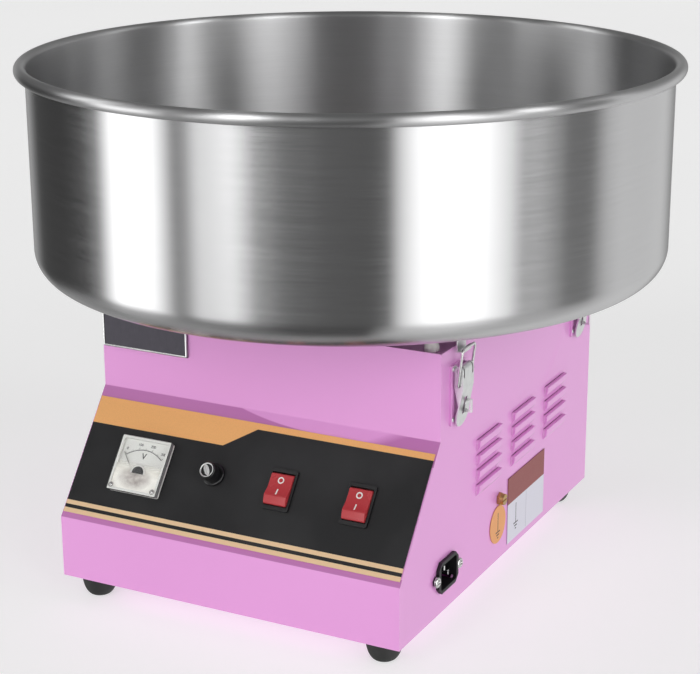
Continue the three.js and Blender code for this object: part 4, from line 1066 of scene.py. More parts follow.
@dataclass(frozen=True)
class Metal(Finish):
    """Plated, cast or turned metal whose streaks run along one of its lays."""

    lay: Lay = Lay.Z
    stretch: float = 14.0
    relief: float = 0.1
    streak_scale: float = 120.0
    rubbed_radius: float = 0.4

    def lines(self, graph: Graph, place: Socket) -> Socket:
        """A vector whose last part crosses the lay, where the streaks change quickly.

        Args:
            graph: The material's graph.
            place: Object coordinates.

        Returns:
            The vector.
        """
        x, y, z = graph.split(place)
        if self.lay is Lay.ROUND:
            return graph.vector(0.0, z, graph.radius(x, y))
        order = {Lay.X: (x, z, y), Lay.Y: (y, z, x), Lay.Z: (z, x, y)}
        return graph.vector(*order[self.lay])

    def wire(self, graph: Surface) -> None:
        """Streaks cross the lay quickly and follow it slowly; edges are rubbed brighter.

        Args:
            graph: The material's graph.
        """
        place = graph.place()
        lines = self.lines(graph, place)
        brush = graph.effect(BRUSHING, Vector=lines, Scale=self.streak_scale, Stretch=self.stretch)
        mottle = graph.span(graph.noise(place, 180.0, 4.0, 0.6), 0.35, 0.65)
        colour = graph.mix(brush["Streak"], self.darker(0.86), self.colour)
        colour = graph.mix(graph.times(mottle, 0.35), colour, self.darker(0.72))
        wear = graph.effect(WEAR, Vector=place, Radius=self.rubbed_radius * MM)["Mask"]
        graph.put(Base_Color=graph.mix(wear, colour, scaled(self.colour, 1.18)))
        self.roughen(graph, brush["Streak"], 0.08, -0.06)
        graph.put(Normal=graph.bump(brush["Height"], self.relief, 0.03), Metallic=1.0)


@dataclass(frozen=True)
class Moulded(Finish):
    """Moulded plastic or rubber with a fine grain and a little dust."""

    dust_scale: float = 60.0
    dust: float = 0.25
    dulling: float = 0.18
    grain: float = 0.08
    grain_scale: float = 1400.0
    grain_depth: float = 0.06

    def wire(self, graph: Surface) -> None:
        """Grain gives the bump; dust lightens and dulls.

        Args:
            graph: The material's graph.
        """
        grain = graph.effect(GRAIN, Vector=graph.place(), Scale=self.grain_scale)
        dust = self.dusted(graph)
        dusty = tuple(min(1.0, value * 1.1 + 0.03) for value in self.colour)
        colour = graph.mix(graph.times(grain["Speckle"], 0.5), self.colour, self.darker(0.88))
        graph.put(Base_Color=graph.mix(dust, colour, dusty))
        self.roughen(graph, dust, self.dulling)
        graph.put(Normal=graph.bump(grain["Height"], self.grain, self.grain_depth))


@dataclass(frozen=True)
class Clear(Finish):
    """Clear plastic or glass with faint wiping marks."""

    dust_scale: float = 90.0
    dust: float = 0.6
    dulling: float = 0.12
    index: float = 1.49

    def wire(self, graph: Surface) -> None:
        """Wiping marks roughen it here and there, and soft light passes through it without a shadow.

        Args:
            graph: The material's graph.
        """
        marks = self.dusted(graph)
        self.roughen(graph, marks, self.dulling)
        graph.put(Base_Color=graph.mix(marks, self.colour, self.darker(0.97)))
        graph.put(Transmission_Weight=1.0, IOR=self.index)
        ray = graph.node("ShaderNodeLightPath").outputs
        passing = graph.math("MAXIMUM", ray["Is Shadow Ray"], ray["Is Diffuse Ray"])
        unseen = graph.node("ShaderNodeBsdfTransparent").outputs[0]
        blend = graph.node("ShaderNodeMixShader", {0: passing, 1: graph.shader.outputs[0], 2: unseen})
        graph.feed(graph.end.inputs["Surface"], blend.outputs[0])


@dataclass(frozen=True)
class Film(Finish):
    """Printed film of one or two colours, divided at a height in millimetres of the wall it lies on, with an
    even glow of painted light where one is given.
    """

    upper: Colour | None = None
    divide: float = 0.0
    # Strength of an even glow: painted light, for the film is no lamp.
    glow: float = 0.0
    faded: Colour = (0.8, 0.78, 0.78)

    def wire(self, graph: Surface) -> None:
        """The upper colour lies over the dividing height; fibres and rubbing break both up.

        Args:
            graph: The material's graph.
        """
        place = graph.place()
        line = self.divide * MM
        above = graph.span(graph.split(place)[2], line - 1e-5, line + 1e-5)
        colour = graph.mix(above, self.colour, self.upper or self.colour)
        fibres = graph.span(graph.noise(place, 700.0, 4.0, 0.6), 0.35, 0.65)
        rubbed = graph.mix(0.12, colour, self.faded)
        colour = graph.mix(graph.times(fibres, 0.5), colour, rubbed)
        graph.put(Base_Color=colour)
        self.roughen(graph, fibres, 0.1)
        graph.put(Normal=graph.bump(fibres, 0.05, 0.02))
        # Painted light: the film glows in its own colour.
        graph.put(Emission_Color=(*self.colour, 1.0), Emission_Strength=self.glow)


@dataclass(frozen=True)
class PanelPrint(Finish):
    """The control panel's print: black ground, an amber title band with a slanted end, and paler stripes.

    Heights run down the slope from its upper edge, in millimetres.
    """

    dusty: Colour = (0.045, 0.045, 0.047)
    amber: Colour = (0.9, 0.46, 0.17)
    pale: Colour = (0.82, 0.58, 0.35)
    band_bottom: float = 32.0
    band_low: float = 15.0
    slant_start: float = -26.0
    slant_end: float = -1.0
    stripes: tuple[tuple[float, float], ...] = ((96.2, 99.6), (102.4, 106.5))

    def wire(self, graph: Surface) -> None:
        """The title band ends where V passes a line that slants between two values of U.

        Args:
            graph: The material's graph.
        """
        u, y, _ = graph.split(graph.local(PANEL))
        v = graph.times(y, -1.0)
        edge = graph.span(u, self.slant_start * MM, self.slant_end * MM,
                          self.band_bottom * MM, self.band_low * MM)
        title = graph.math("LESS_THAN", v, edge)
        amber = title
        for top, bottom in self.stripes:
            below, above = graph.math("GREATER_THAN", v, top * MM), graph.math("LESS_THAN", v, bottom * MM)
            amber = graph.math("MAXIMUM", amber, graph.times(below, above))
        grain = graph.effect(GRAIN, Vector=graph.place(), Scale=1500.0)
        dust = self.dusted(graph)
        ground = graph.mix(dust, self.colour, self.dusty)
        band = graph.mix(grain["Speckle"], self.amber, scaled(self.amber, 0.92))
        graph.put(Base_Color=graph.mix(amber, ground, graph.mix(title, self.pale, band)))
        self.roughen(graph, dust, self.dulling)
        graph.put(Normal=graph.bump(grain["Height"], 0.04, 0.02), Specular_IOR_Level=0.3)


@dataclass(frozen=True)
class Milky(Finish):
    """Film that turns from clear to milky down the meter's face, with warm grey painted shade over the
    movement and an even glow of painted light.

    Places are in the meter's frame, in millimetres.
    """

    # Painted shade over the movement: its colour, middle and size.
    painted_shade: Colour = (0.2, 0.15, 0.14)
    painted_shade_x: float = -1.0
    painted_shade_y: float = -10.5
    painted_shade_width: float = 13.5
    painted_shade_height: float = 8.0
    frost_start: float = 2.0
    frost_end: float = -9.0
    # Painted light: an even glow, though the film is no lamp.
    glow: float = 0.168

    def wire(self, graph: Surface) -> None:
        """The painted shade fades with the distance from its middle; the frosting grows down the face.

        Args:
            graph: The material's graph.
        """
        x, y, _ = graph.split(graph.local(METER))
        parts = ((x, self.painted_shade_x, self.painted_shade_width), (y, self.painted_shade_y, self.painted_shade_height))
        across, down = (graph.math("POWER", graph.math("DIVIDE", graph.math("SUBTRACT", place, middle * MM),
                                                       size * MM), 2.0) for place, middle, size in parts)
        near = graph.span(graph.math("ADD", across, down), 0.2, 1.4, 1.0, 0.0)
        graph.put(Alpha=graph.span(y, self.frost_start * MM, self.frost_end * MM))
        cloud = graph.span(graph.noise(graph.place(), 300.0, 4.0), 0.3, 0.7)
        shade_share = graph.times(near, graph.span(cloud, 0, 1, 0.55, 1.0))
        # Painted shade, clouded by noise, over the movement.
        graph.put(Base_Color=graph.mix(shade_share, self.colour, self.painted_shade))
        self.roughen(graph, cloud, 0.15)
        graph.put(Emission_Color=(*self.colour, 1.0), Emission_Strength=self.glow)


@dataclass(frozen=True)
class Floor(Finish):
    """The studio's pale floor, with a little light of its own as a sweep has under studio lamps."""

    glow: float = 1.15

    def wire(self, graph: Surface) -> None:
        """A faint drift of tone.

        Args:
            graph: The material's graph.
        """
        drift = graph.span(graph.noise(graph.place(), 1.5), 0.3, 0.7)
        colour = graph.mix(drift, self.darker(0.985), self.colour)
        graph.put(Base_Color=colour, Emission_Color=colour, Emission_Strength=self.glow)


PINK = Paint("pink_enamel", "pink_paint", (0.81, 0.35, 0.735), 0.3)
PINK_FOLDED = SlopeShadedPaint("pink_enamel_folded", "pink_paint", PINK.colour, 0.3)
ZINC = Metal("zinc_plate", "bright_steel", (0.89, 0.91, 0.9), 0.4, relief=0.05)
ZINC_POLISHED = Metal("polished_zinc_plate", "bright_steel", (0.86, 0.85, 0.86), 0.24, relief=0.03)
WIRE = Metal("bright_wire", "bright_steel", (0.86, 0.86, 0.86), 0.2, relief=0.04)
SCREW = Metal("bright_screw", "bright_steel", (0.8, 0.8, 0.79), 0.24, relief=0.05)
FUSE_FACE = Metal("fuse_cap_insert", "bright_steel", (0.95, 0.95, 0.94), 0.34, relief=0.04)
HEATER = Metal("heater_strip", "bright_steel", (0.42, 0.38, 0.36), 0.45, lay=Lay.ROUND)
ALUMINIUM = Metal("turned_aluminium", "aluminium", (0.72, 0.73, 0.74), 0.34, lay=Lay.ROUND, stretch=30.0)
BRASS = Metal("turned_brass", "brass", (0.62, 0.42, 0.16), 0.32, lay=Lay.X)
BRASS_ROUND = Metal("slip_ring_brass", "brass", (0.66, 0.45, 0.18), 0.28, lay=Lay.ROUND, stretch=30.0)
PLATE = Metal("dark_name_sheet", "plate_sheet", (0.09, 0.085, 0.1), 0.34, lay=Lay.Y)
RUBBER = Moulded("black_foot_rubber", "black_rubber", (0.02, 0.021, 0.02), 0.6, grain=0.25,
                 grain_scale=700.0)
BEZEL = Moulded("black_bezel", "black_plastic", (0.007, 0.007, 0.008), 0.5, grain=0.05, dust=0.12)
BLACK_GLOSS = Moulded("black_gloss_moulding", "black_plastic", (0.008, 0.008, 0.009), 0.16, grain=0.03)
RED = Moulded("red_rocker_moulding", "red_plastic", (0.48, 0.042, 0.05), 0.26, grain=0.04, dust=0.15)
WHITE = Moulded("white_moulding", "white_plastic", (0.78, 0.77, 0.74), 0.35, grain=0.05)
MARK_WHITE = Moulded("white_mark", "white_plastic", (0.85, 0.83, 0.8), 0.4, grain=0.02)
NEEDLE_GREY = Moulded("grey_enamel", "black_plastic", (0.38, 0.37, 0.35), 0.45, grain=0.02)
FROSTED = Moulded("frosted_cover_wall", "clear_plastic", (0.2, 0.2, 0.2), 0.25, grain=0.03)
INK = Moulded("printed_ink", "black_plastic", (0.03, 0.03, 0.032), 0.5, grain=0.02, dust=0.3)
LABEL_GREY = Moulded("printed_grey_line", "label_film", (0.4, 0.4, 0.46), 0.5, grain=0.02)
MOTOR = Moulded("motor_enamel", "motor_paint", (0.045, 0.05, 0.055), 0.42, grain=0.3, grain_scale=500.0)
RESIN = Moulded("brown_resin", "resin", (0.19, 0.06, 0.025), 0.4, grain=0.1)
CLEAR = Clear("clear_cover", "clear_plastic", (0.97, 0.98, 0.98), 0.04)
GLASS = Clear("fuse_glass_tube", "fuse_glass", (0.95, 0.97, 0.96), 0.02, index=1.5)
# The dial card glows: painted light that brightens it beyond what the lamps give it.
DIAL = Film("dial_card", "dial_card", (0.97, 0.96, 0.93), 0.55, glow=0.42)
TAG_FILM = Film("amber_tag", "orange_film", (0.8, 0.36, 0.12), 0.45)
LABEL_COLOUR = (0.7, 0.7, 0.78)
LABEL_RED = (0.26, 0.048, 0.045)
PANEL_PRINT = PanelPrint("panel_screen_print", "panel_print", (0.013, 0.013, 0.014), 0.42)
MILKY = Milky("milky_cover", "clear_plastic", (0.92, 0.9, 0.84), 0.4)


# Sub-assemblies


@dataclass
class Louvres:
    """Rows of louvres pressed out of the side walls and the rear cover, each open along its upper edge."""

    length: float = 43.5
    height: float = 9.0
    depth: float = 3.4
    shoulder: float = 2.9
    shoulder_drop: float = 5.4
    skin: float = 0.2
    end: float = 2.4
    sheet: float = 0.7
    lip: float = 0.6
    mouth: float = 0.35
    columns: int = 3
    rows: int = 4
    first_column: float = -54.8
    column_step: float = 69.0
    row_step: float = 12.2
    side_top: float = 116.0
    rear_top: float = 150.0

    def section(self) -> np.ndarray:
        """Section (x, z) of one louvre: a swelling out of the wall, a rolled lip, and a turned-in edge.

        Returns:
            The closed section. The lip turns back towards the wall and leaves the mouth open.
        """
        out, top, foot = self.depth + self.skin, self.skin, -self.height - self.skin
        swell, level = self.shoulder + self.skin, -self.shoulder_drop
        corners = [(0.0, foot - 0.6), (0.1, foot), (swell, level), (out, top), (self.mouth, top),
                   (self.mouth, top - self.sheet), (out - self.sheet, top - self.sheet),
                   (swell - self.sheet, level + 0.3), (-self.sheet, foot)]
        return fillet(corners, [0.8, 4.0, self.lip, 0.3, 0.3, 0.4, 3.0], steps=7)

    def hood(self) -> Shape:
        """One louvre about its upper edge: X out of the wall, Y along it, Z up.

        Each point of the section keeps its height, and its distance from the wall is scaled by the quarter
        ellipse sqrt(1 - (1 - t) ^ 2), where t is the distance from the louvre's end over the end's length.

        Returns:
            The closed hood.
        """
        section = self.section()
        half = self.length / 2 + self.skin
        t = np.linspace(0, np.pi / 2, 10)
        ends = half - self.end * (1 - np.cos(t))
        y = np.concatenate([-ends, np.linspace(-ends[-1], ends[-1], 9)[1:-1], ends[::-1]])[:, None]
        reach = np.clip((half - np.abs(y)) / self.end, 0, 1)
        scale = np.maximum(np.sqrt(1 - (1 - reach) ** 2), 0.02)
        x = section[:, 0] * scale
        rings = np.stack([x, y + 0 * x, section[:, 1] + 0 * x], -1)
        return grid(capped(rings), wrap_columns=True)

    def build(self) -> None:
        """Lays the hoods over the right wall, the left wall and the rear cover."""
        hood = self.hood()
        drops = [self.row_step * row for row in range(self.rows)]
        steps = [self.column_step * column for column in range(self.columns)]
        for side, name in ((1, "right"), (-1, "left")):
            places = [side_wall(side, self.first_column + step, BASE_Z + self.side_top - drop)
                      for step in steps for drop in drops]
            add(f"side_louvres_{name}", hood.copied(places), PINK, crease=50)
        out_of_rear = ((0, 1, 0), (-1, 0, 0), (0, 0, 1))
        places = [Placement((step - self.column_step, REAR_Y, BASE_Z + self.rear_top - drop), out_of_rear)
                  for step in steps for drop in drops]
        add("rear_louvres", hood.copied(places), PINK, crease=50)


@dataclass
class Casing:
    """The folded housing, its deck, base tray and rear cover, and the screws that hold them."""

    shell_edge: float = 0.9
    tray_edge: float = 0.5
    cover_edge: float = 0.35
    screw: PanHead = PanHead(3.2, 1.6)
    sunk: float = 0.02
    cover_margin_x: float = 8.0
    cover_margin_z: float = 26.0
    tray_x: float = 95.0
    tray_margin_front: float = 12.0
    tray_margin_rear: float = 14.0

    def build(self) -> None:
        """Rounds the folded edges and adds the screws of the cover and the tray."""
        crisp("housing_shell", PINK_FOLDED, self.shell_edge, steps=3, limit=30)
        crisp("top_plate", PINK, self.tray_edge, steps=3)
        crisp("base_plate", PINK, self.tray_edge)
        crisp("rear_cover", PINK, self.cover_edge)
        x = SIDE_X - self.cover_margin_x
        low, high = BASE_Z + self.cover_margin_z, WALL_TOP_Z - self.cover_margin_z
        rear = [(side * x, REAR_Y - self.sunk, z)
                for side in (-1, 1) for z in (low, (BASE_Z + WALL_TOP_Z) / 2, high)]
        self.screws("rear_cover_screws", rear, Facing.BACK)
        front, back = PLINTH_Y + self.tray_margin_front, REAR_Y - self.tray_margin_rear
        tray = [(side * self.tray_x, y, BASE_Z + self.sunk) for side in (-1, 1) for y in (front, back)]
        self.screws("base_tray_screws", tray, Facing.DOWN)

    def screws(self, name: str, spots: Sequence[tuple[float, float, float]], facing: Facing) -> None:
        """Pan-head screws at several spots that all face one way."""
        places = [Placement(spot, facing.value) for spot in spots]
        add(name, self.screw.shape().copied(places), SCREW)


@dataclass
class Feet:
    """Four cup-shaped rubber feet on the tray's studs, each with a screw in its sole."""

    top_radius: float = 14.0
    bottom_radius: float = 6.0
    stud_radius: float = 2.5
    sole_hole: float = 3.2
    hole_depth: float = 4.5
    under_tray: float = 0.3
    screw: PanHead = PanHead(2.9, 1.5)

    def build(self) -> None:
        """Turns each foot in place of its solid: its side is a quarter ellipse from the sole to the tray."""
        for corner in Corner:
            name = f"foot_{corner.value}"
            low, high = node_box(name)
            x, y = (low[:2] + high[:2]) / 2
            outline = self.outline(BASE_Z - self.under_tray, float(high[2]))
            add(f"{name}_turned", lathe(outline, 56), RUBBER, Placement((x, y, 0)), [name])
            under = Placement((x, y, self.hole_depth - 0.1), Facing.DOWN.value)
            add(f"{name}_screw", self.screw.shape(), SCREW, under)

    def outline(self, top: float, stud_top: float) -> np.ndarray:
        """Outline of a foot from the middle of its sole to the middle of its stud.

        Args:
            top: Height of its rim.
            stud_top: Height of its stud.

        Returns:
            Radius and height of each point.
        """
        t = np.linspace(-np.pi / 2, 0, 20)
        spread = self.top_radius - self.bottom_radius
        side = np.column_stack([self.bottom_radius + spread * np.cos(t), top * (1 + np.sin(t))])
        sole = fillet([(0, self.hole_depth), (self.sole_hole, self.hole_depth), (self.sole_hole, 0),
                       (self.bottom_radius, 0)], [0, 0.6])
        stud = fillet([(self.stud_radius, top), (self.stud_radius, stud_top), (0, stud_top)], [0.6])
        return np.concatenate([sole[:-1], side, stud])


@dataclass
class Bowl:
    """The spun bowl with its rolled rim and centre collar, and the spacers that it rests on."""

    sheet: float = 1.2
    corner_radius: float = 21.0
    bead_radius: float = 4.8
    bead_end: float = -110.0
    collar_radius: float = 80.0
    collar_height: float = 10.0
    collar_bend: float = 4.0
    segments: int = 360
    spacer_waist: float = 0.7

    def middle_line(self) -> np.ndarray:
        """Middle line of the sheet from the collar to the rim's end.

        It is the collar, a bend, the floor, the corner's quarter circle, the wall, and the rim's rolled
        circle of 290 degrees.

        Returns:
            Radius and height of each point.
        """
        low, high = node_box("bowl")
        half = self.sheet / 2
        floor, rim = low[2] + half, high[2]
        wall = high[0] - 2 * self.bead_radius + half
        bead = (wall + self.bead_radius - half, rim - self.bead_radius)
        bend, corner = self.collar_bend, self.corner_radius
        return np.concatenate([
            [[self.collar_radius, floor + self.collar_height]],
            arc((self.collar_radius + bend, floor + bend), bend, 180, 270, 8),
            np.linspace([self.collar_radius + 3 * bend, floor], [wall - corner - 4, floor], 12),
            arc((wall - corner, floor + corner), corner, 270, 360, 20),
            np.linspace([wall, floor + corner + 4], [wall, bead[1] - 4], 16),
            arc(bead, self.bead_radius - half, 180, self.bead_end, 30)])

    def outline(self) -> np.ndarray:
        """Section of the sheet: its middle line moved half a thickness to each side.

        Returns:
            Radius and height of each point; the last is the first again.
        """
        middle = self.middle_line()
        side = directions(middle) @ np.array([[0, -1], [1, 0]]) * self.sheet / 2
        return np.concatenate([middle + side, (middle - side)[::-1], (middle + side)[:1]])

    def build(self) -> None:
        """Turns the bowl and its spacers, and rounds the catches under it."""
        outline = self.outline()
        half_way = float(np.hypot(*np.diff(outline[:-1], axis=0).T).sum()) * MM / 2
        steel = SpunSheet("spun_stainless", "spun_steel", (0.6, 0.6, 0.605), 0.2, inside_from=half_way)
        turned = lathe(outline, self.segments, with_uv=True)
        add("bowl_spun", turned, steel, replaces=["bowl"], body=Body.BOWL, crease=50)
        for corner in Corner:
            crisp(f"bowl_catch_{corner.value}", ZINC, 0.25, Body.BOWL)
            self.spacer(f"bowl_spacer_{corner.value}")

    def spacer(self, node: str) -> None:
        """A turned nylon post with rolled edges and a shallow waist.

        Args:
            node: Name of the solid that it stands for.
        """
        low, high = node_box(node)
        x, y = (low[:2] + high[:2]) / 2
        radius = (high[0] - low[0]) / 2
        waist = radius - self.spacer_waist
        z0, z1 = low[2], high[2]
        outline = fillet([(0, z0), (radius, z0), (radius, z0 + 4), (waist, z0 + 6), (waist, z1 - 6),
                          (radius, z1 - 4), (radius, z1), (0, z1)], [0.6, 1, 1, 1, 1, 0.6])
        add(f"{node}_turned", lathe(outline, 40), WHITE, Placement((x, y, 0)), [node])


@dataclass
class Latch:
    """One toggle latch on a side wall: base plate with rivets, lever, and wire loop."""

    corner: Corner
    side: int
    y: float
    pin_drop: float = 17.0
    hinge_out: float = 6.0
    lever_width: float = 19.0
    lever_sheet: float = 1.2
    wire_radius: float = 1.1
    wire_bend: float = 3.0
    wire_gap: float = 0.6
    loop_drop: float = 11.0
    loop_rise: float = 17.0
    loop_lean: float = 3.5
    rivet_radius: float = 2.0
    rivet_height: float = 1.1
    rivet_spots: Outline = ((9.4, 1.2), (-9.4, 1.2), (9.4, -37.5), (-9.4, -37.5))
    plate: float = 1.6
    coat_width: float = 24.3
    coat_length: float = 46.3
    coat: float = 1.66
    coat_top: float = 4.15

    @property
    def place(self) -> Placement:
        """The latch's frame: X out of the wall, Z up, origin level with the lever's pin."""
        return side_wall(self.side, self.y, WALL_TOP_Z - self.pin_drop)

    def loop(self) -> Shape:
        """The wire bail: a flat path with rounded corners, in a plane that leans out of the wall.

        Returns:
            The bent wire.
        """
        wire_y = self.lever_width / 2 + self.wire_gap + self.wire_radius
        end_y = self.lever_width / 2 - self.lever_sheet - self.wire_gap
        rise = self.loop_rise + self.loop_drop
        height = math.hypot(rise, self.loop_lean)
        foot, top = self.wire_radius, self.wire_bend
        corners = [(-end_y, 0), (-wire_y, 0), (-wire_y, height), (wire_y, height), (wire_y, 0), (end_y, 0)]
        flat = fillet(corners, [foot, top, top, foot], steps=10)
        up = np.array([self.loop_lean, 0, rise]) / height
        start = np.array([self.hinge_out, 0, -self.loop_drop])
        path = start + flat @ np.array([[0, 1, 0], up])
        return tube(path, np.cross([0, 1, 0], up), self.wire_radius)

    def dome(self, x: np.ndarray, y: np.ndarray) -> np.ndarray:
        """Height of a rivet's head: height (1 - (r / radius) ^ 2) ^ 0.5."""
        return self.rivet_height * np.sqrt(np.clip(1 - (x * x + y * y) / self.rivet_radius ** 2, 0, 1))

    def rivets(self) -> Shape:
        """Four domed rivet heads that hold the base plate."""
        head = relief_disc(self.rivet_radius, self.dome, 8, 24)
        return head.copied([Placement((self.plate, y, z), Facing.RIGHT.value) for y, z in self.rivet_spots])

    def backing(self) -> Shape:
        """The base plate's coat of the housing's paint, a hair larger than the plate."""
        coat = rounded_plate(self.coat_width, self.coat_length, 1.0, 0.0, self.coat, 0.4)
        return coat.placed(Placement((0, 0, self.coat_top - self.coat_length / 2), Facing.RIGHT.value))

    def build(self) -> None:
        """Rounds the stampings and adds the paint on the base plate, the loop and the rivets."""
        corner = self.corner.value
        crisp(f"latch_base_{corner}", ZINC_POLISHED, 0.25)
        add(f"latch_backing_{corner}", self.backing(), PINK, self.place)
        crisp(f"latch_lever_{corner}", ZINC, 0.4, f"lever_{corner}", steps=3, limit=28)
        add(f"latch_loop_{corner}_wire", self.loop(), WIRE, self.place,
            [f"latch_loop_{corner}"], f"loop_{corner}")
        add(f"latch_rivets_{corner}", self.rivets(), ZINC, self.place)


@dataclass
class Voltmeter:
    """The square voltmeter: case, printed dial, needle, clear cover, pivot guard and cover screws."""

    place: Placement = METER
    size: float = 44.0
    corner: float = 1.0
    card_top: float = 2.4
    guard_top: float = 4.9
    guard_radius: float = 5.0
    rim_radius: float = 5.7
    face: float = 6.3
    wall: float = 1.8
    seat: float = 1.9
    pivot_drop: float = 12.0
    guard_drop: float = 5.8
    arc_radius: float = 24.8
    sweep: float = 38.5
    divisions: int = 30
    numerals: tuple[str, ...] = ("0", "100", "200", "300")
    numeral_size: float = 3.0
    numeral_rise: float = 4.2
    numeral_sweep: float = 0.87
    screw: PanHead = PanHead(1.5, 0.7, slotted=True)
    screw_spot: float = 18.6

    def scale(self) -> Shape:
        """The dial's arc and its divisions: strokes between two radii about the needle's pivot.

        Every tenth division is the longest, and every fifth is longer and thicker than the rest.

        Returns:
            The printed strokes.
        """
        arc_line = self.on_dial(np.linspace(-self.sweep, self.sweep, 41), self.arc_radius)
        strokes = [ribbon(arc_line, 0.5, self.card_top)]
        for i, angle in enumerate(np.linspace(-self.sweep, self.sweep, self.divisions + 1)):
            reach = 2.1 if i % 10 == 0 else 1.5 if i % 5 == 0 else 0.9
            ends = self.on_dial(np.array([angle, angle]), self.arc_radius + np.array([0, reach]))
            strokes.append(ribbon(ends, 0.3 if i % 5 == 0 else 0.16, self.card_top))
        return Shape.joined(strokes)

    def on_dial(self, degrees: np.ndarray, radius: float | np.ndarray) -> np.ndarray:
        """Points at angles from the dial's upright: pivot + radius (sin a, cos a)."""
        a = np.radians(degrees)
        return np.stack([radius * np.sin(a), radius * np.cos(a) - self.pivot_drop], -1)

    def lettering(self, name: str, text: str, size: float, x: float, y: float) -> None:
        """Prints a numeral or the unit on the dial, as a thin raised mesh.

        Args:
            name: Name of the piece.
            text: What is printed.
            size: Height of the letters.
            x: Middle of the print along the dial.
            y: Middle of the print up the dial.
        """
        ink = 0.03
        curve = bpy.data.curves.new(name, "FONT")
        curve.body = text
        curve.size = size
        curve.align_x = "CENTER"
        curve.align_y = "CENTER"
        curve.extrude = ink
        curve.offset = 0.01 * size
        source = bpy.data.objects.new(name, curve)
        mesh = bpy.data.meshes.new_from_object(source)
        bpy.data.objects.remove(source)
        points = np.empty(len(mesh.vertices) * 3)
        mesh.vertices.foreach_get("co", points)
        points = self.place.put(points.reshape(-1, 3) + np.array([x, y, self.card_top + ink]))
        mesh.vertices.foreach_set("co", points.astype(np.float32).ravel())
        mesh.update()
        install(name, mesh, INK)

    def printing(self) -> None:
        """Prints the scale, its numerals at equal steps of the sweep, and the unit."""
        add("voltmeter_scale", self.scale(), INK, self.place)
        angles = np.linspace(-self.sweep, self.sweep, len(self.numerals)) * self.numeral_sweep
        spots = self.on_dial(angles, self.arc_radius + self.numeral_rise)
        for i, (text, (x, y)) in enumerate(zip(self.numerals, spots)):
            self.lettering(f"voltmeter_numeral_{i}", text, self.numeral_size, x, y)
        self.lettering("voltmeter_unit", "V", 6.8, 0, 7.8)

    def pivot_guard(self) -> Shape:
        """A half-round dark cap over the movement, flat below and rounded at its edge.

        Returns:
            The cap: one outline at four heights, drawn in towards the top.
        """
        top, foot = self.guard_top, -0.6
        round_part = arc((0, 0), self.guard_radius, 0, 180, 32)
        outline = np.concatenate([round_part, [[-self.guard_radius, foot], [self.guard_radius, foot]]])
        steps = ((1.0, top - 0.6), (1.0, top - 0.3), (0.93, top - 0.1), (0.6, top))
        return stacked([(outline * scale, z) for scale, z in steps]).moved(0, -self.guard_drop, 0)

    def guard_rim(self) -> Shape:
        """A white half ring round the dark cap."""
        bow = arc((0, -self.guard_drop), self.rim_radius, math.degrees(-0.1), 180 + math.degrees(0.1), 40)
        return tube(np.column_stack([bow, np.full(len(bow), self.guard_top - 0.5)]), (0, 0, 1), 0.55, 12)

    def shield(self) -> Shape:
        """The film inside the cover: frosted low down, where it hides the movement."""
        top, inner = self.guard_top - 0.7, self.size - 2 * (self.wall + 0.2)
        return rounded_plate(inner, inner, 0.8, top - 0.2, top, 0.1)

    def cover(self) -> None:
        """The clear cover's face, the white lining of its margin and sides, and its greyer wall."""
        ceiling = self.face - 1.0
        high, low, skin, lip = ceiling - 0.02, ceiling - 0.3, 0.35, self.wall + 0.4
        lining = [(skin, self.seat), (skin, high), (lip, high), (lip, low), (self.wall, low),
                  (self.wall, self.seat)]
        wall = [(0, self.seat), (0, high - 0.4), (skin - 0.05, high - 0.4), (skin - 0.05, self.seat)]
        outer = (self.size, self.size, self.corner)
        face = rounded_plate(*outer, ceiling, self.face, 0.3)
        # The lining takes the dial card's finish, glow of painted light included.
        add("voltmeter_window_lining", ring_frame(*outer, lining), DIAL, self.place)
        add("voltmeter_window_face", face, CLEAR, self.place, ["voltmeter_window"])
        add("voltmeter_window_wall", ring_frame(*outer, wall), FROSTED, self.place)

    def screws(self) -> None:
        """Two slotted screws through the cover's lower corners, each in a grey ring."""
        spots = [Placement((x, -self.screw_spot, self.face)) for x in (-self.screw_spot, self.screw_spot)]
        heads = self.screw.shape().moved(z=-0.2).copied(spots)
        add("voltmeter_screws", heads, SCREW, self.place)
        ring = lathe([(1.4, 0.0), (2.1, 0.0), (2.1, 0.15), (1.4, 0.15), (1.4, 0.0)], 32, closed=True)
        add("voltmeter_screw_rings", ring.copied(spots), NEEDLE_GREY, self.place)

    def build(self) -> None:
        """Builds the meter from its back to its face."""
        crisp("voltmeter_case", WHITE, 0.45, steps=3)
        dress("voltmeter_dial", DIAL)
        self.printing()
        crisp("voltmeter_needle", NEEDLE_GREY, 0.08, Body.NEEDLE)
        add("voltmeter_pivot_guard", self.pivot_guard(), BLACK_GLOSS, self.place)
        add("voltmeter_shield", self.shield(), MILKY, self.place)
        add("voltmeter_guard_rim", self.guard_rim(), WHITE, self.place)
        self.cover()
        self.screws()


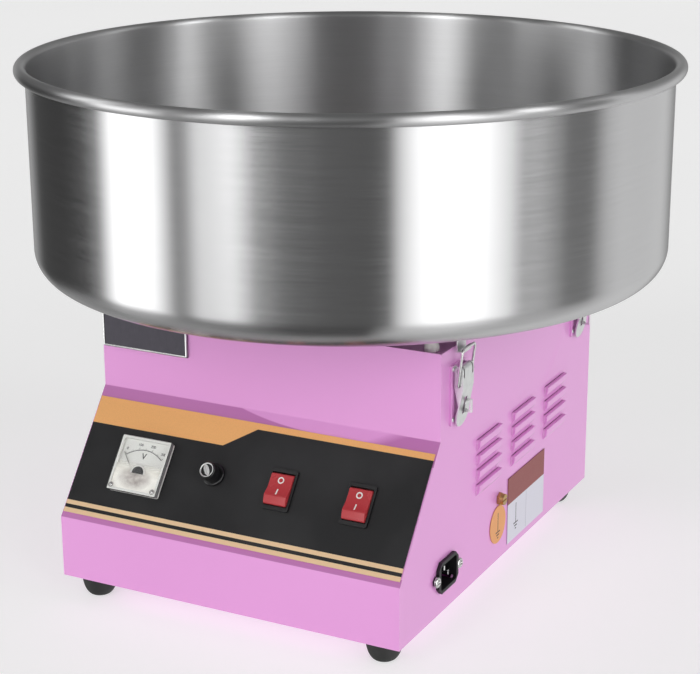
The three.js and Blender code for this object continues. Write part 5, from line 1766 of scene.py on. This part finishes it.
@dataclass
class FuseHolder:
    """The panel fuse holder: flange, fluted cap with a slotted metal face, and its cartridge."""

    place: Placement = FUSE
    flange_radius: float = 9.0
    flange: float = 2.4
    cap_gap: float = 0.3
    cap_radius: float = 6.8
    cap_height: float = 10.5
    bore: float = 3.0
    barrel_radius: float = 6.5
    barrel_length: float = 32.4
    socket_depth: float = 4.8
    flutes: int = 24
    flute_depth: float = 0.22
    fuse_radius: float = 2.6
    fuse_length: float = 20.0
    ferrule: float = 5.0

    @property
    def cap_top(self) -> float:
        """Height of the cap's top over the panel."""
        return self.flange + self.cap_gap + self.cap_height

    def cap(self) -> Shape:
        """The cap, fluted round its side below the rolled top and hollow for the cartridge.

        A point of the side loses depth (1 + cos(flutes * angle)) of its radius.

        Returns:
            The fluted cap.
        """
        z0, top = self.flange + self.cap_gap, self.cap_top
        radius, socket, bore = self.cap_radius, top - self.socket_depth, self.fuse_radius + 0.4
        outline = fillet([(0, socket), (bore, socket), (bore, z0), (radius, z0), (radius, top),
                          (radius - 0.6, top), (radius - 0.8, top - 0.5), (0, top - 0.5)],
                         [0, 0, 0.4, 1.2, 0.1, 0.1], steps=6)
        shape = lathe(outline, self.flutes * 8)
        x, y, z = shape.points.T
        r = np.hypot(x, y)
        depth = self.flute_depth * (r > radius - 0.5) * (1 - smooth_step(z, top - 3.2, top - 2.2))
        scale = 1 - depth * (1 + np.cos(self.flutes * np.arctan2(y, x))) / np.maximum(r, 1)
        shape.points[:, :2] *= scale[:, None]
        return shape

    def slotted_bar(self, x: np.ndarray, y: np.ndarray) -> np.ndarray:
        """Height of the bar in the cap's insert: flat, with a narrow slot along Y."""
        return 0.42 - 0.3 * (1 - smooth_step(np.abs(x), 0.14, 0.24))

    def face(self) -> Shape:
        """The polished insert in the cap.

        Returns:
            A rolled ring, and a leaning oval bar with a slot in its middle.
        """
        top = self.cap_top - 0.5
        low, high, inner, outer = top - 0.1, top + 0.45, 4.7, 5.9
        ring = lathe(fillet([(inner, low), (inner, high), (outer, high), (outer, low)], [0.4, 0.4]), 64)
        leaning = Placement((0, 0, top), ((1.75, 1.1, 0), (-2.5, 3.9, 0), (0, 0, 1)))
        return Shape.joined([ring, relief_disc(1.0, self.slotted_bar, 14, 48).placed(leaning)])

    def holder(self) -> Shape:
        """The holder's flange on the panel and its barrel behind it, bored through.

        Returns:
            The turned holder.
        """
        low, high = self.flange - self.barrel_length, self.flange
        bore, outer, barrel = self.bore, self.flange_radius, self.barrel_radius
        outline = fillet([(bore, low + 1.5), (bore, high), (outer, high), (outer, 0), (barrel, 0),
                          (barrel, low), (bore, low), (bore, low + 1.5)], [0, 0.9, 0.2, 0, 0.4, 0])
        return lathe(outline, 56)

    def build(self) -> None:
        """Turns the holder, the cap and the cartridge."""
        add("fuse_holder_turned", self.holder(), BLACK_GLOSS, self.place, ["fuse_holder"])
        add("fuse_cap_fluted", self.cap(), BLACK_GLOSS, self.place, ["fuse_cap"], Body.FUSE_KNOB)
        add("fuse_cap_face", self.face(), FUSE_FACE, self.place, body=Body.FUSE_KNOB)
        self.cartridge()

    def cartridge(self) -> None:
        """A glass tube between two metal ferrules."""
        top = self.cap_top - self.socket_depth - 0.3
        foot = top - self.fuse_length
        glass = post(self.fuse_radius - 0.15, foot + 1, top - 1, 0.1)
        add("fuse_cartridge_glass", glass, GLASS, self.place, ["fuse_cartridge"], Body.FUSE_CARRIER)
        ends = ((foot, foot + self.ferrule), (top - self.ferrule, top))
        ferrules = Shape.joined([post(self.fuse_radius, z0, z1, 0.4) for z0, z1 in ends])
        add("fuse_cartridge_ferrules", ferrules, SCREW, self.place, body=Body.FUSE_CARRIER)


@dataclass
class RockerSwitch:
    """A rocker switch: black bezel, red rocker with a round mark for off and a bar for on."""

    name: str
    body: Body
    u: float
    v: float = 57.5
    width: float = 18.4
    length: float = 25.2
    crest: float = 4.9
    crest_share: float = 0.57
    upper_share: float = 0.84
    dish: float = 1.0
    edge: float = 1.6
    blend: float = 0.25
    tilt: float = 9.0
    depth: float = 5.0
    mark_radius: float = 2.6
    mark_y: float = 5.9
    ink: float = 0.07

    @property
    def place(self) -> Placement:
        """The switch's frame on the panel."""
        return CONTROLS.moved(self.u, -self.v, 0)

    def top(self, y: np.ndarray) -> np.ndarray:
        """Height of the rocker's face: the lower of a shallow dish and the end slopes, blended together.

        The end slope is shorter on the upper half, which lies pressed in at rest.

        Args:
            y: Places along the rocker.

        Returns:
            The height at each.
        """
        end = self.length / 2
        peak = np.where(y > 0, self.upper_share, self.crest_share) * end
        inner = self.crest - self.dish * (1 - (y / peak) ** 2)
        outer = self.edge + (self.crest - self.edge) * (end - np.abs(y)) / (end - peak)
        return 0.1 - self.blend * np.log(np.exp(-inner / self.blend) + np.exp(-outer / self.blend))

    def rocker(self) -> Shape:
        """The face's curve, upright ends and a rounded underside, carried across the switch.

        Returns:
            The closed rocker.
        """
        end = self.length / 2
        y = np.linspace(end - 0.2, -end + 0.2, 81)
        face = np.column_stack([y, self.top(y)])
        rim, belly = self.edge - 0.2, -self.depth + 1
        under = fillet([(-end, rim), (-end, 0), (-end + 2, belly), (0, -self.depth), (end - 2, belly),
                        (end, 0), (end, rim)], [0.5, 1, 3, 1, 0.5])
        return carried(np.concatenate([face, under]), -self.width / 2, self.width / 2, 0.45)

    def draped(self, shape: Shape) -> Shape:
        """A flat mark laid on the rocker's face."""
        lift = self.top(shape.points[:, 1:2]) - 0.02
        return Shape(shape.points + lift * np.array([0, 0, 1]), shape.quads)

    def marks(self) -> Shape:
        """A ring for off on the upper half and a bar for on below the middle.

        Returns:
            Both marks, laid on the face.
        """
        turn = circle(48)
        ring = self.mark_radius * np.stack([np.sin(turn), np.cos(turn)], -1)
        wall = ((1.0, 0.0), (1.0, self.ink), (0.62, self.ink), (0.62, 0.0))
        rows = levels([(ring * scale + np.array([0, self.mark_y]), z) for scale, z in wall])
        off = grid(rows, wrap_rows=True, wrap_columns=True)
        on = ribbon(np.column_stack([np.zeros(12), np.linspace(-1.2, -5.8, 12)]), 1.05, 0.0, self.ink)
        return Shape.joined([self.draped(off), self.draped(on)])

    def build(self) -> None:
        """Rounds the case and sets the rocker into it at its off position."""
        crisp(f"{self.name}_switch_case", BEZEL, 0.5, steps=3)
        tilted = self.place.turned(-self.tilt)
        solid = f"{self.name}_switch_rocker"
        add(f"{self.name}_rocker_moulded", self.rocker(), RED, tilted, [solid], self.body, 35)
        add(f"{self.name}_rocker_marks", self.marks(), MARK_WHITE, tilted, body=self.body)


@dataclass
class Plates:
    """The printed overlay, the bare name plate with its rim, the side label and the earth tag and screw."""

    rim: float = 1.6
    rim_height: float = 0.55
    rim_bevel: float = 0.25
    divide_share: float = 0.6
    label_symbol: tuple[float, float] = (17.0, 13.0)
    tag_symbol_drop: float = 6.5

    def symbol(self, y: float, z: float, size: float) -> list[Shape]:
        """The earth symbol: a stem over three bars of falling length.

        Args:
            y: Place along the wall.
            z: Height of its first bar.
            size: Length of its first bar.

        Returns:
            The strokes, in Y and Z of the wall as X and Y.
        """
        stem = ribbon([(y, z + 1.9 * size), (y, z)], 0.09 * size, 0.0)
        strokes = [stem]
        for half, rise in ((0.5, 0.0), (0.31, -0.28), (0.13, -0.56)):
            level = z + rise * size
            strokes.append(ribbon([(y - half * size, level), (y + half * size, level)], 0.11 * size, 0.0))
        return strokes

    def build(self) -> None:
        """Dresses the flat pieces and adds what is printed or raised on them."""
        dress("panel_overlay", PANEL_PRINT)
        self.name_plate()
        low, high = node_box("side_label")
        divide = float(low[2] + self.divide_share * (high[2] - low[2]))
        label = Film("banded_label", "label_film", LABEL_COLOUR, 0.42, upper=LABEL_RED, divide=divide)
        dress("side_label", label)
        dress("earth_tag", TAG_FILM)
        on_label = Placement((high[0] - 0.01, 0, 0), Facing.RIGHT.value)
        tag_low, tag_high = node_box("earth_tag")
        tag_middle = (tag_low + tag_high) / 2
        y, z = self.label_symbol
        symbols = [*self.symbol(low[1] + y, low[2] + z, 9.0),
                   *self.symbol(tag_middle[1], tag_middle[2] - self.tag_symbol_drop, 8.5)]
        add("earth_symbols", Shape.joined(symbols), INK, on_label)
        middle = (low[1] + high[1]) / 2
        line = ribbon([(middle, low[2] + 1), (middle, divide - 0.6)], 0.35, 0.0)
        add("label_divider", line, LABEL_GREY, on_label)
        crisp("earth_screw", BRASS, 0.25)

    def name_plate(self) -> None:
        """A dark brushed sheet with a raised bright rim and nothing on it."""
        crisp("name_plate", PLATE, 0.3)
        middle = (NAME_LOW + NAME_HIGH) / 2
        place = Placement((middle[0], NAME_LOW[1], middle[2]), Facing.FRONT.value)
        foot, top, bevel, rim = -0.2, self.rim_height, self.rim_bevel, self.rim
        section = [(0.0, foot), (0.0, top - 0.2), (bevel, top),
                   (rim - bevel, top), (rim, top - 0.2), (rim, foot)]
        width, _, height = NAME_HIGH - NAME_LOW
        add("name_plate_rim", ring_frame(width, height, 1.2, section), WIRE, place)


@dataclass
class Inlet:
    """The mains inlet: socket, three pins and two pan-head screws."""

    screw: PanHead = PanHead(4.3, 2.5)
    shank_radius: float = 1.5
    shank_length: float = 6.0

    def build(self) -> None:
        """Rounds the socket and the pins and sets the screw heads into its ears."""
        crisp("inlet_socket", BEZEL, 0.6, steps=3, limit=40)
        for pin in ("earth", "line", "neutral"):
            crisp(f"inlet_pin_{pin}", WIRE, 0.45, steps=3)
        foot, neck = -self.shank_length, 0.5
        shank = lathe([(0, foot), (self.shank_radius, foot), (self.shank_radius, neck), (0, neck)], 24)
        shape = Shape.joined([self.screw.shape(), shank])
        for end in ("front", "rear"):
            solid = f"inlet_screw_{end}"
            low, high = node_box(solid)
            y, z = (low[1:] + high[1:]) / 2
            place = Placement((high[0] - self.screw.height, y, z), Facing.RIGHT.value)
            add(f"{solid}_head", shape, SCREW, place, [solid])


@dataclass
class Spinner:
    """The motor under the deck and what turns above it: spindle, hub, head, cap and heater."""

    head_radius: float = 66.0
    hub_radius: float = 15.0
    spindle_radius: float = 6.0
    bore: float = 6.3
    shaft_gap: float = 6.4
    motor_radius: float = 44.0
    boss_radius: float = 14.0
    flange_radius: float = 24.0
    bearing_radius: float = 13.0
    screw: PanHead = PanHead(2.6, 1.5)
    screw_circle: float = 18.5
    ring_raise: float = 1.5
    ring_half: float = 5.0
    neck_radius: float = 34.0
    mouth_radius: float = 26.0
    band_height: float = 19.7
    ribs: int = 180
    rib_depth: float = 0.35

    def build(self) -> None:
        """Turns the round pieces finely and rounds the rest."""
        crisp("motor_bracket", ZINC, 0.5)
        crisp("brush_holder", RESIN, 0.5)
        crisp("heater_ring", HEATER, 0.2, Body.SPINNER)
        self.motor()
        self.bearing()
        self.spindle()
        self.hub()
        self.head()
        self.cap()

    def turned(self, node: str, corners: Outline, radii: Sequence[float], finish: Finish, body: Body,
               segments: int = 72) -> None:
        """Stands for a solid by a turned piece about the machine's axis.

        Args:
            node: Name of the solid.
            corners: Corners of its outline.
            radii: Radius of each inner corner.
            finish: The finish.
            body: The body that it moves with.
            segments: Number of steps round it.
        """
        shape = lathe(fillet(corners, radii), segments, closed=corners[0] == corners[-1])
        add(f"{node}_turned", shape, finish, replaces=[node], body=body)

    def motor(self) -> None:
        """The motor's can with rolled ends and its boss."""
        low, high = node_box("motor_body")
        boss, r, hole = 4.0, self.motor_radius, self.shaft_gap
        z0, z1 = low[2], high[2] - boss
        corners = [(0, z0), (r - 6, z0), (r, z0 + 6), (r, z1 - 3), (r - 3, z1), (self.boss_radius, z1),
                   (self.boss_radius, z1 + boss), (hole, z1 + boss), (hole, z1 - 34), (0, z1 - 34)]
        self.turned("motor_body", corners, [2, 4, 2, 1, 1, 0.5, 0.5, 0], MOTOR, Body.HOUSING)

    def bearing(self) -> None:
        """The flanged bearing on the deck, with three screws."""
        low, high = node_box("spindle_bearing")
        z0, z1 = low[2], high[2]
        hole, sleeve, flange = self.shaft_gap, self.bearing_radius, self.flange_radius
        corners = [(hole, z0 + 5), (hole, z0), (flange, z0), (flange, z0 + 3), (sleeve, z0 + 3),
                   (sleeve, z1), (hole, z1), (hole, z0 + 5)]
        self.turned("spindle_bearing", corners, [0, 0.4, 0.6, 1.5, 0.8, 0.4], ALUMINIUM, Body.HOUSING)
        turns = np.radians([60, 180, 300])
        places = [Placement((self.screw_circle * math.cos(a), self.screw_circle * math.sin(a), z0 + 2.98))
                  for a in turns]
        add("bearing_screws", self.screw.shape().copied(places), SCREW)

    def spindle(self) -> None:
        """The steel spindle, rounded at its ends."""
        z0, z1 = (float(corner[2]) for corner in node_box("spindle"))
        corners = [(0, z0), (self.spindle_radius, z0), (self.spindle_radius, z1), (0, z1)]
        self.turned("spindle", corners, [0.5, 0.8], SCREW, Body.SPINNER)

    def hub(self) -> None:
        """The hub with its two slip rings."""
        low, high = node_box("slip_ring_hub")
        z0, z1, r = low[2], high[2], self.hub_radius
        corners, radii = [(self.bore, z0 + 1), (self.bore, z0), (r, z0)], [0.3, 0.5]
        for share in (0.3, 0.7):
            z, raised = z0 + share * (z1 - z0), r + self.ring_raise
            under, over = z - self.ring_half, z + self.ring_half
            corners += [(r, under), (raised, under), (raised, over), (r, over)]
            radii += [0.4, 0.3, 0.3, 0.4]
        corners += [(r, z1), (self.bore, z1), (self.bore, z0 + 1)]
        radii += [0.5, 0.3]
        self.turned("slip_ring_hub", corners, radii, BRASS_ROUND, Body.SPINNER)

    def head(self) -> None:
        """The head's dish, with its boss round the spindle."""
        z, r, hub, hole = node_box("spinner_head")[0][2], self.head_radius, self.hub_radius, self.bore
        rim, boss = z + 12, z + 23
        corners = [(hole, z + 10), (hole, z), (hub, z), (r, rim), (r, rim + 2), (r - 2, rim + 2),
                   (hub, z + 3), (11, z + 4), (10, boss), (hole, boss), (hole, z + 10)]
        radii = [0.3, 4, 1, 0.6, 0.6, 4, 2, 0.8, 0.4]
        self.turned("spinner_head", corners, radii, ALUMINIUM, Body.SPINNER, 144)

    def cap(self) -> None:
        """The cap: a ribbed band that the floss leaves through, and a cone with a rolled mouth.

        The band's radius is the cap's less depth (1 + cos(ribs * angle)), so that it is finely ribbed.
        """
        low, high = node_box("spinner_cap")
        z0, z1, edge, neck, mouth = low[2], high[2], self.head_radius, self.neck_radius, self.mouth_radius
        band = z0 + self.band_height
        corners = [(edge - 2, z0 + 2), (edge - 2, z0), (edge, z0), (edge, band), (neck, z1 - 5), (mouth, z1),
                   (mouth - 2, z1), (neck - 4, z1 - 7), (edge - 2, band - 2), (edge - 2, z0 + 2)]
        shape = lathe(fillet(corners, [0.2, 0.5, 1.5, 5, 0.8, 0.8, 4, 1]), 4 * self.ribs, closed=True)
        x, y, z = shape.points.T
        r = np.hypot(x, y)
        on_band = smooth_step(z, z0 + 0.4, z0 + 1.5) * (1 - smooth_step(z, band - 3, band - 1.5))
        depth = self.rib_depth * (r > edge - 0.6) * on_band
        shape.points[:, :2] *= (1 - depth * (1 + np.cos(self.ribs * np.arctan2(y, x))) / r)[:, None]
        add("spinner_cap_turned", shape, ALUMINIUM, replaces=["spinner_cap"], body=Body.SPINNER)


# Studio


@dataclass
class Studio:
    """The pale floor, the soft light and the camera.

    The camera's place, turn and focal length were fitted to the object's edges in a frame of 700 by 674.
    Each ring of lamps is given as stops of compass angle in degrees and strength.
    """

    eye: tuple[float, float, float] = (663.7, -1283.8, 625.4)
    yaw: float = 27.39
    pitch: float = 17.34
    roll: float = -0.26
    focal_pixels: float = 1851.15
    frame_width_pixels: float = 700.0
    sensor: float = 36.0
    nearest: float = 0.05
    farthest: float = 60.0
    floor_half: float = 9.0
    low_lamps: Outline = (
        (0, 0.36), (10, 0.2), (36, 0.16), (40, 0.24), (44, 1.5), (49, 2.4), (56, 3.2), (70, 3.2), (83, 1.7),
        (88, 0.6), (102, 0.52), (107, 0.25), (118, 0.25), (126, 0.85), (135, 1.05), (170, 0.95), (185, 0.4),
        (232, 0.5), (245, 0.1), (282, 0.06), (290, 0.45), (295, 2.0), (299, 3.2), (314, 3.2), (319, 2.0),
        (325, 0.42), (329, 0.7), (334, 1.8), (346, 1.9), (351, 1.1), (355, 0.42), (360, 0.36))
    high_lamps: Outline = (
        (0, 2.6), (4, 1.0), (12, 1.3), (18, 0.5), (40, 0.4), (47, 1.8), (60, 4.4), (67, 2.7), (74, 0.4),
        (85, 0.8), (90, 4.0), (95, 5.6), (101, 0.8), (112, 0.3), (122, 0.4), (130, 1.5), (142, 0.4),
        (240, 0.2), (270, 0.3), (277, 2.0), (283, 3.5), (290, 1.4), (299, 0.05), (312, 0.4), (318, 1.5),
        (326, 0.2), (336, 0.4), (344, 4.8), (350, 7.0), (360, 2.6))
    ground_lamps: Outline = (
        (0, 0.1), (34, 0.1), (48, 0.9), (75, 1.0), (95, 0.75), (120, 0.75), (150, 1.1), (180, 0.9),
        (230, 0.5), (265, 0.4), (285, 0.55), (302, 0.5), (318, 0.4), (328, 0.24), (345, 0.22), (360, 0.1))
    overhead: float = 0.2
    underneath: float = 0.55

    def camera(self) -> None:
        """Looks along (-sin yaw cos pitch, cos yaw cos pitch, -sin pitch), rolled about that direction."""
        yaw, pitch, roll = (math.radians(angle) for angle in (self.yaw, self.pitch, self.roll))
        level = np.array([math.cos(yaw), math.sin(yaw), 0.0])
        forth = np.array([-math.sin(yaw), math.cos(yaw), 0.0])
        ahead = forth * math.cos(pitch) - np.array([0, 0, math.sin(pitch)])
        upright = np.cross(level, ahead)
        right = level * math.cos(roll) + upright * math.sin(roll)
        up = -level * math.sin(roll) + upright * math.cos(roll)
        data = bpy.data.cameras.new("photo_camera")
        data.sensor_width = self.sensor
        data.lens = self.sensor * self.focal_pixels / self.frame_width_pixels
        data.clip_start = self.nearest
        data.clip_end = self.farthest
        camera = bpy.data.objects.new("photo_camera", data)
        turn = Matrix((right.tolist(), up.tolist(), (-ahead).tolist())).transposed()
        camera.matrix_world = Matrix.Translation([value * MM for value in self.eye]) @ turn.to_4x4()
        bpy.context.scene.collection.objects.link(camera)
        bpy.context.scene.camera = camera

    def floor(self) -> None:
        """A wide pale plane that the feet stand on."""
        half = self.floor_half / MM
        x, y = np.meshgrid([-half, half], [-half, half])
        mesh = finished_mesh("studio_floor", grid(np.stack([x, y, 0 * x], -1)), 30)
        mesh.materials.append(Floor("studio_floor", "", (0.5, 0.5, 0.5), 0.7).material())
        plane = bpy.data.objects.new("studio_floor", mesh)
        bpy.context.scene.collection.objects.link(plane)
        plane.visible_glossy = False

    def light(self) -> None:
        """Soft light from all round, brighter where the tall lamps stand.

        The light of a direction is that of its compass angle: from the low lamps near the horizon, from the
        high lamps above it and from the ground lamps below it. The tent's top and bottom give an even light.
        Each zone takes over between two heights of the direction, from -1 straight down to 1 straight up.
        """
        world = bpy.data.worlds.new("studio")
        bpy.context.scene.world = world
        world.use_nodes = True
        world.node_tree.nodes.clear()
        graph = Graph(world.node_tree)
        x, y, z = graph.split(graph.node("ShaderNodeTexCoord").outputs["Generated"])
        turn = graph.math("ARCTAN2", x, graph.times(y, -1.0))
        share = graph.math("FRACT", graph.math("ADD", graph.math("DIVIDE", turn, 2 * math.pi), 1.0))
        strength = self.ring_of(graph, share, self.low_lamps)
        zones = ((0.08, 0.2, self.ring_of(graph, share, self.high_lamps)), (0.6, 0.75, self.overhead),
                 (-0.36, -0.5, self.ring_of(graph, share, self.ground_lamps)),
                 (-0.9, -0.98, self.underneath))
        for start, end, light in zones:
            inputs = {0: graph.span(z, start, end), 2: strength, 3: light}
            strength = graph.node("ShaderNodeMix", inputs, data_type="FLOAT").outputs[0]
        background = graph.node("ShaderNodeBackground", {"Strength": strength})
        graph.node("ShaderNodeOutputWorld", {"Surface": background.outputs[0]})

    def ring_of(self, graph: Graph, share: Socket, lamps: Outline) -> Socket:
        """Light of a ring of lamps.

        Args:
            graph: The world's graph.
            share: Compass angle as a share of a full turn.
            lamps: The ring's stops, in order.

        Returns:
            The strength at that angle, blended between the stops.
        """
        ramp = graph.node("ShaderNodeValToRGB", {"Fac": share})
        stops = ramp.color_ramp.elements
        stops[0].position, stops[1].position = 0.0, 1.0
        for angle, _ in lamps[1:-1]:
            stops.new(angle / 360)
        peak = max(strength for _, strength in lamps)
        for stop, (_, strength) in zip(stops, lamps):
            stop.color = (*[strength / peak] * 3, 1)
        return graph.times(ramp.outputs["Color"], peak)

    def build(self) -> None:
        """Sets up the studio."""
        self.camera()
        self.floor()
        self.light()
        bpy.context.scene.view_settings.view_transform = "Standard"


LATCH_FRONT_Y = -115.5
LATCH_REAR_Y = 129.0


def dress_hidden() -> None:
    """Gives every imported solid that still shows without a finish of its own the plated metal."""
    for name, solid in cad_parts.items():
        finished = any(material and material.use_nodes for material in solid.data.materials)
        if not solid.hide_render and not finished:
            LOG.warning("%s had no finish", name)
            dress(name, ZINC)


def main() -> None:
    """Builds the studio and every sub-assembly, then dresses the bare solids that still show."""
    logging.basicConfig(level=logging.INFO, format="%(name)s: %(message)s")
    assemblies = (
        Studio(), Casing(), Louvres(), Feet(), Bowl(),
        Latch(Corner.FRONT_RIGHT, 1, LATCH_FRONT_Y), Latch(Corner.REAR_RIGHT, 1, LATCH_REAR_Y),
        Latch(Corner.FRONT_LEFT, -1, LATCH_FRONT_Y), Latch(Corner.REAR_LEFT, -1, LATCH_REAR_Y),
        Voltmeter(), FuseHolder(), RockerSwitch("heat", Body.HEAT_ROCKER, 32.3),
        RockerSwitch("power", Body.POWER_ROCKER, 97.3), Plates(), Inlet(), Spinner())
    for assembly in assemblies:
        LOG.info("building: %s", type(assembly).__name__)
        assembly.build()
    dress_hidden()
    bpy.context.view_layer.update()


if __name__ == "__main__":
    main()
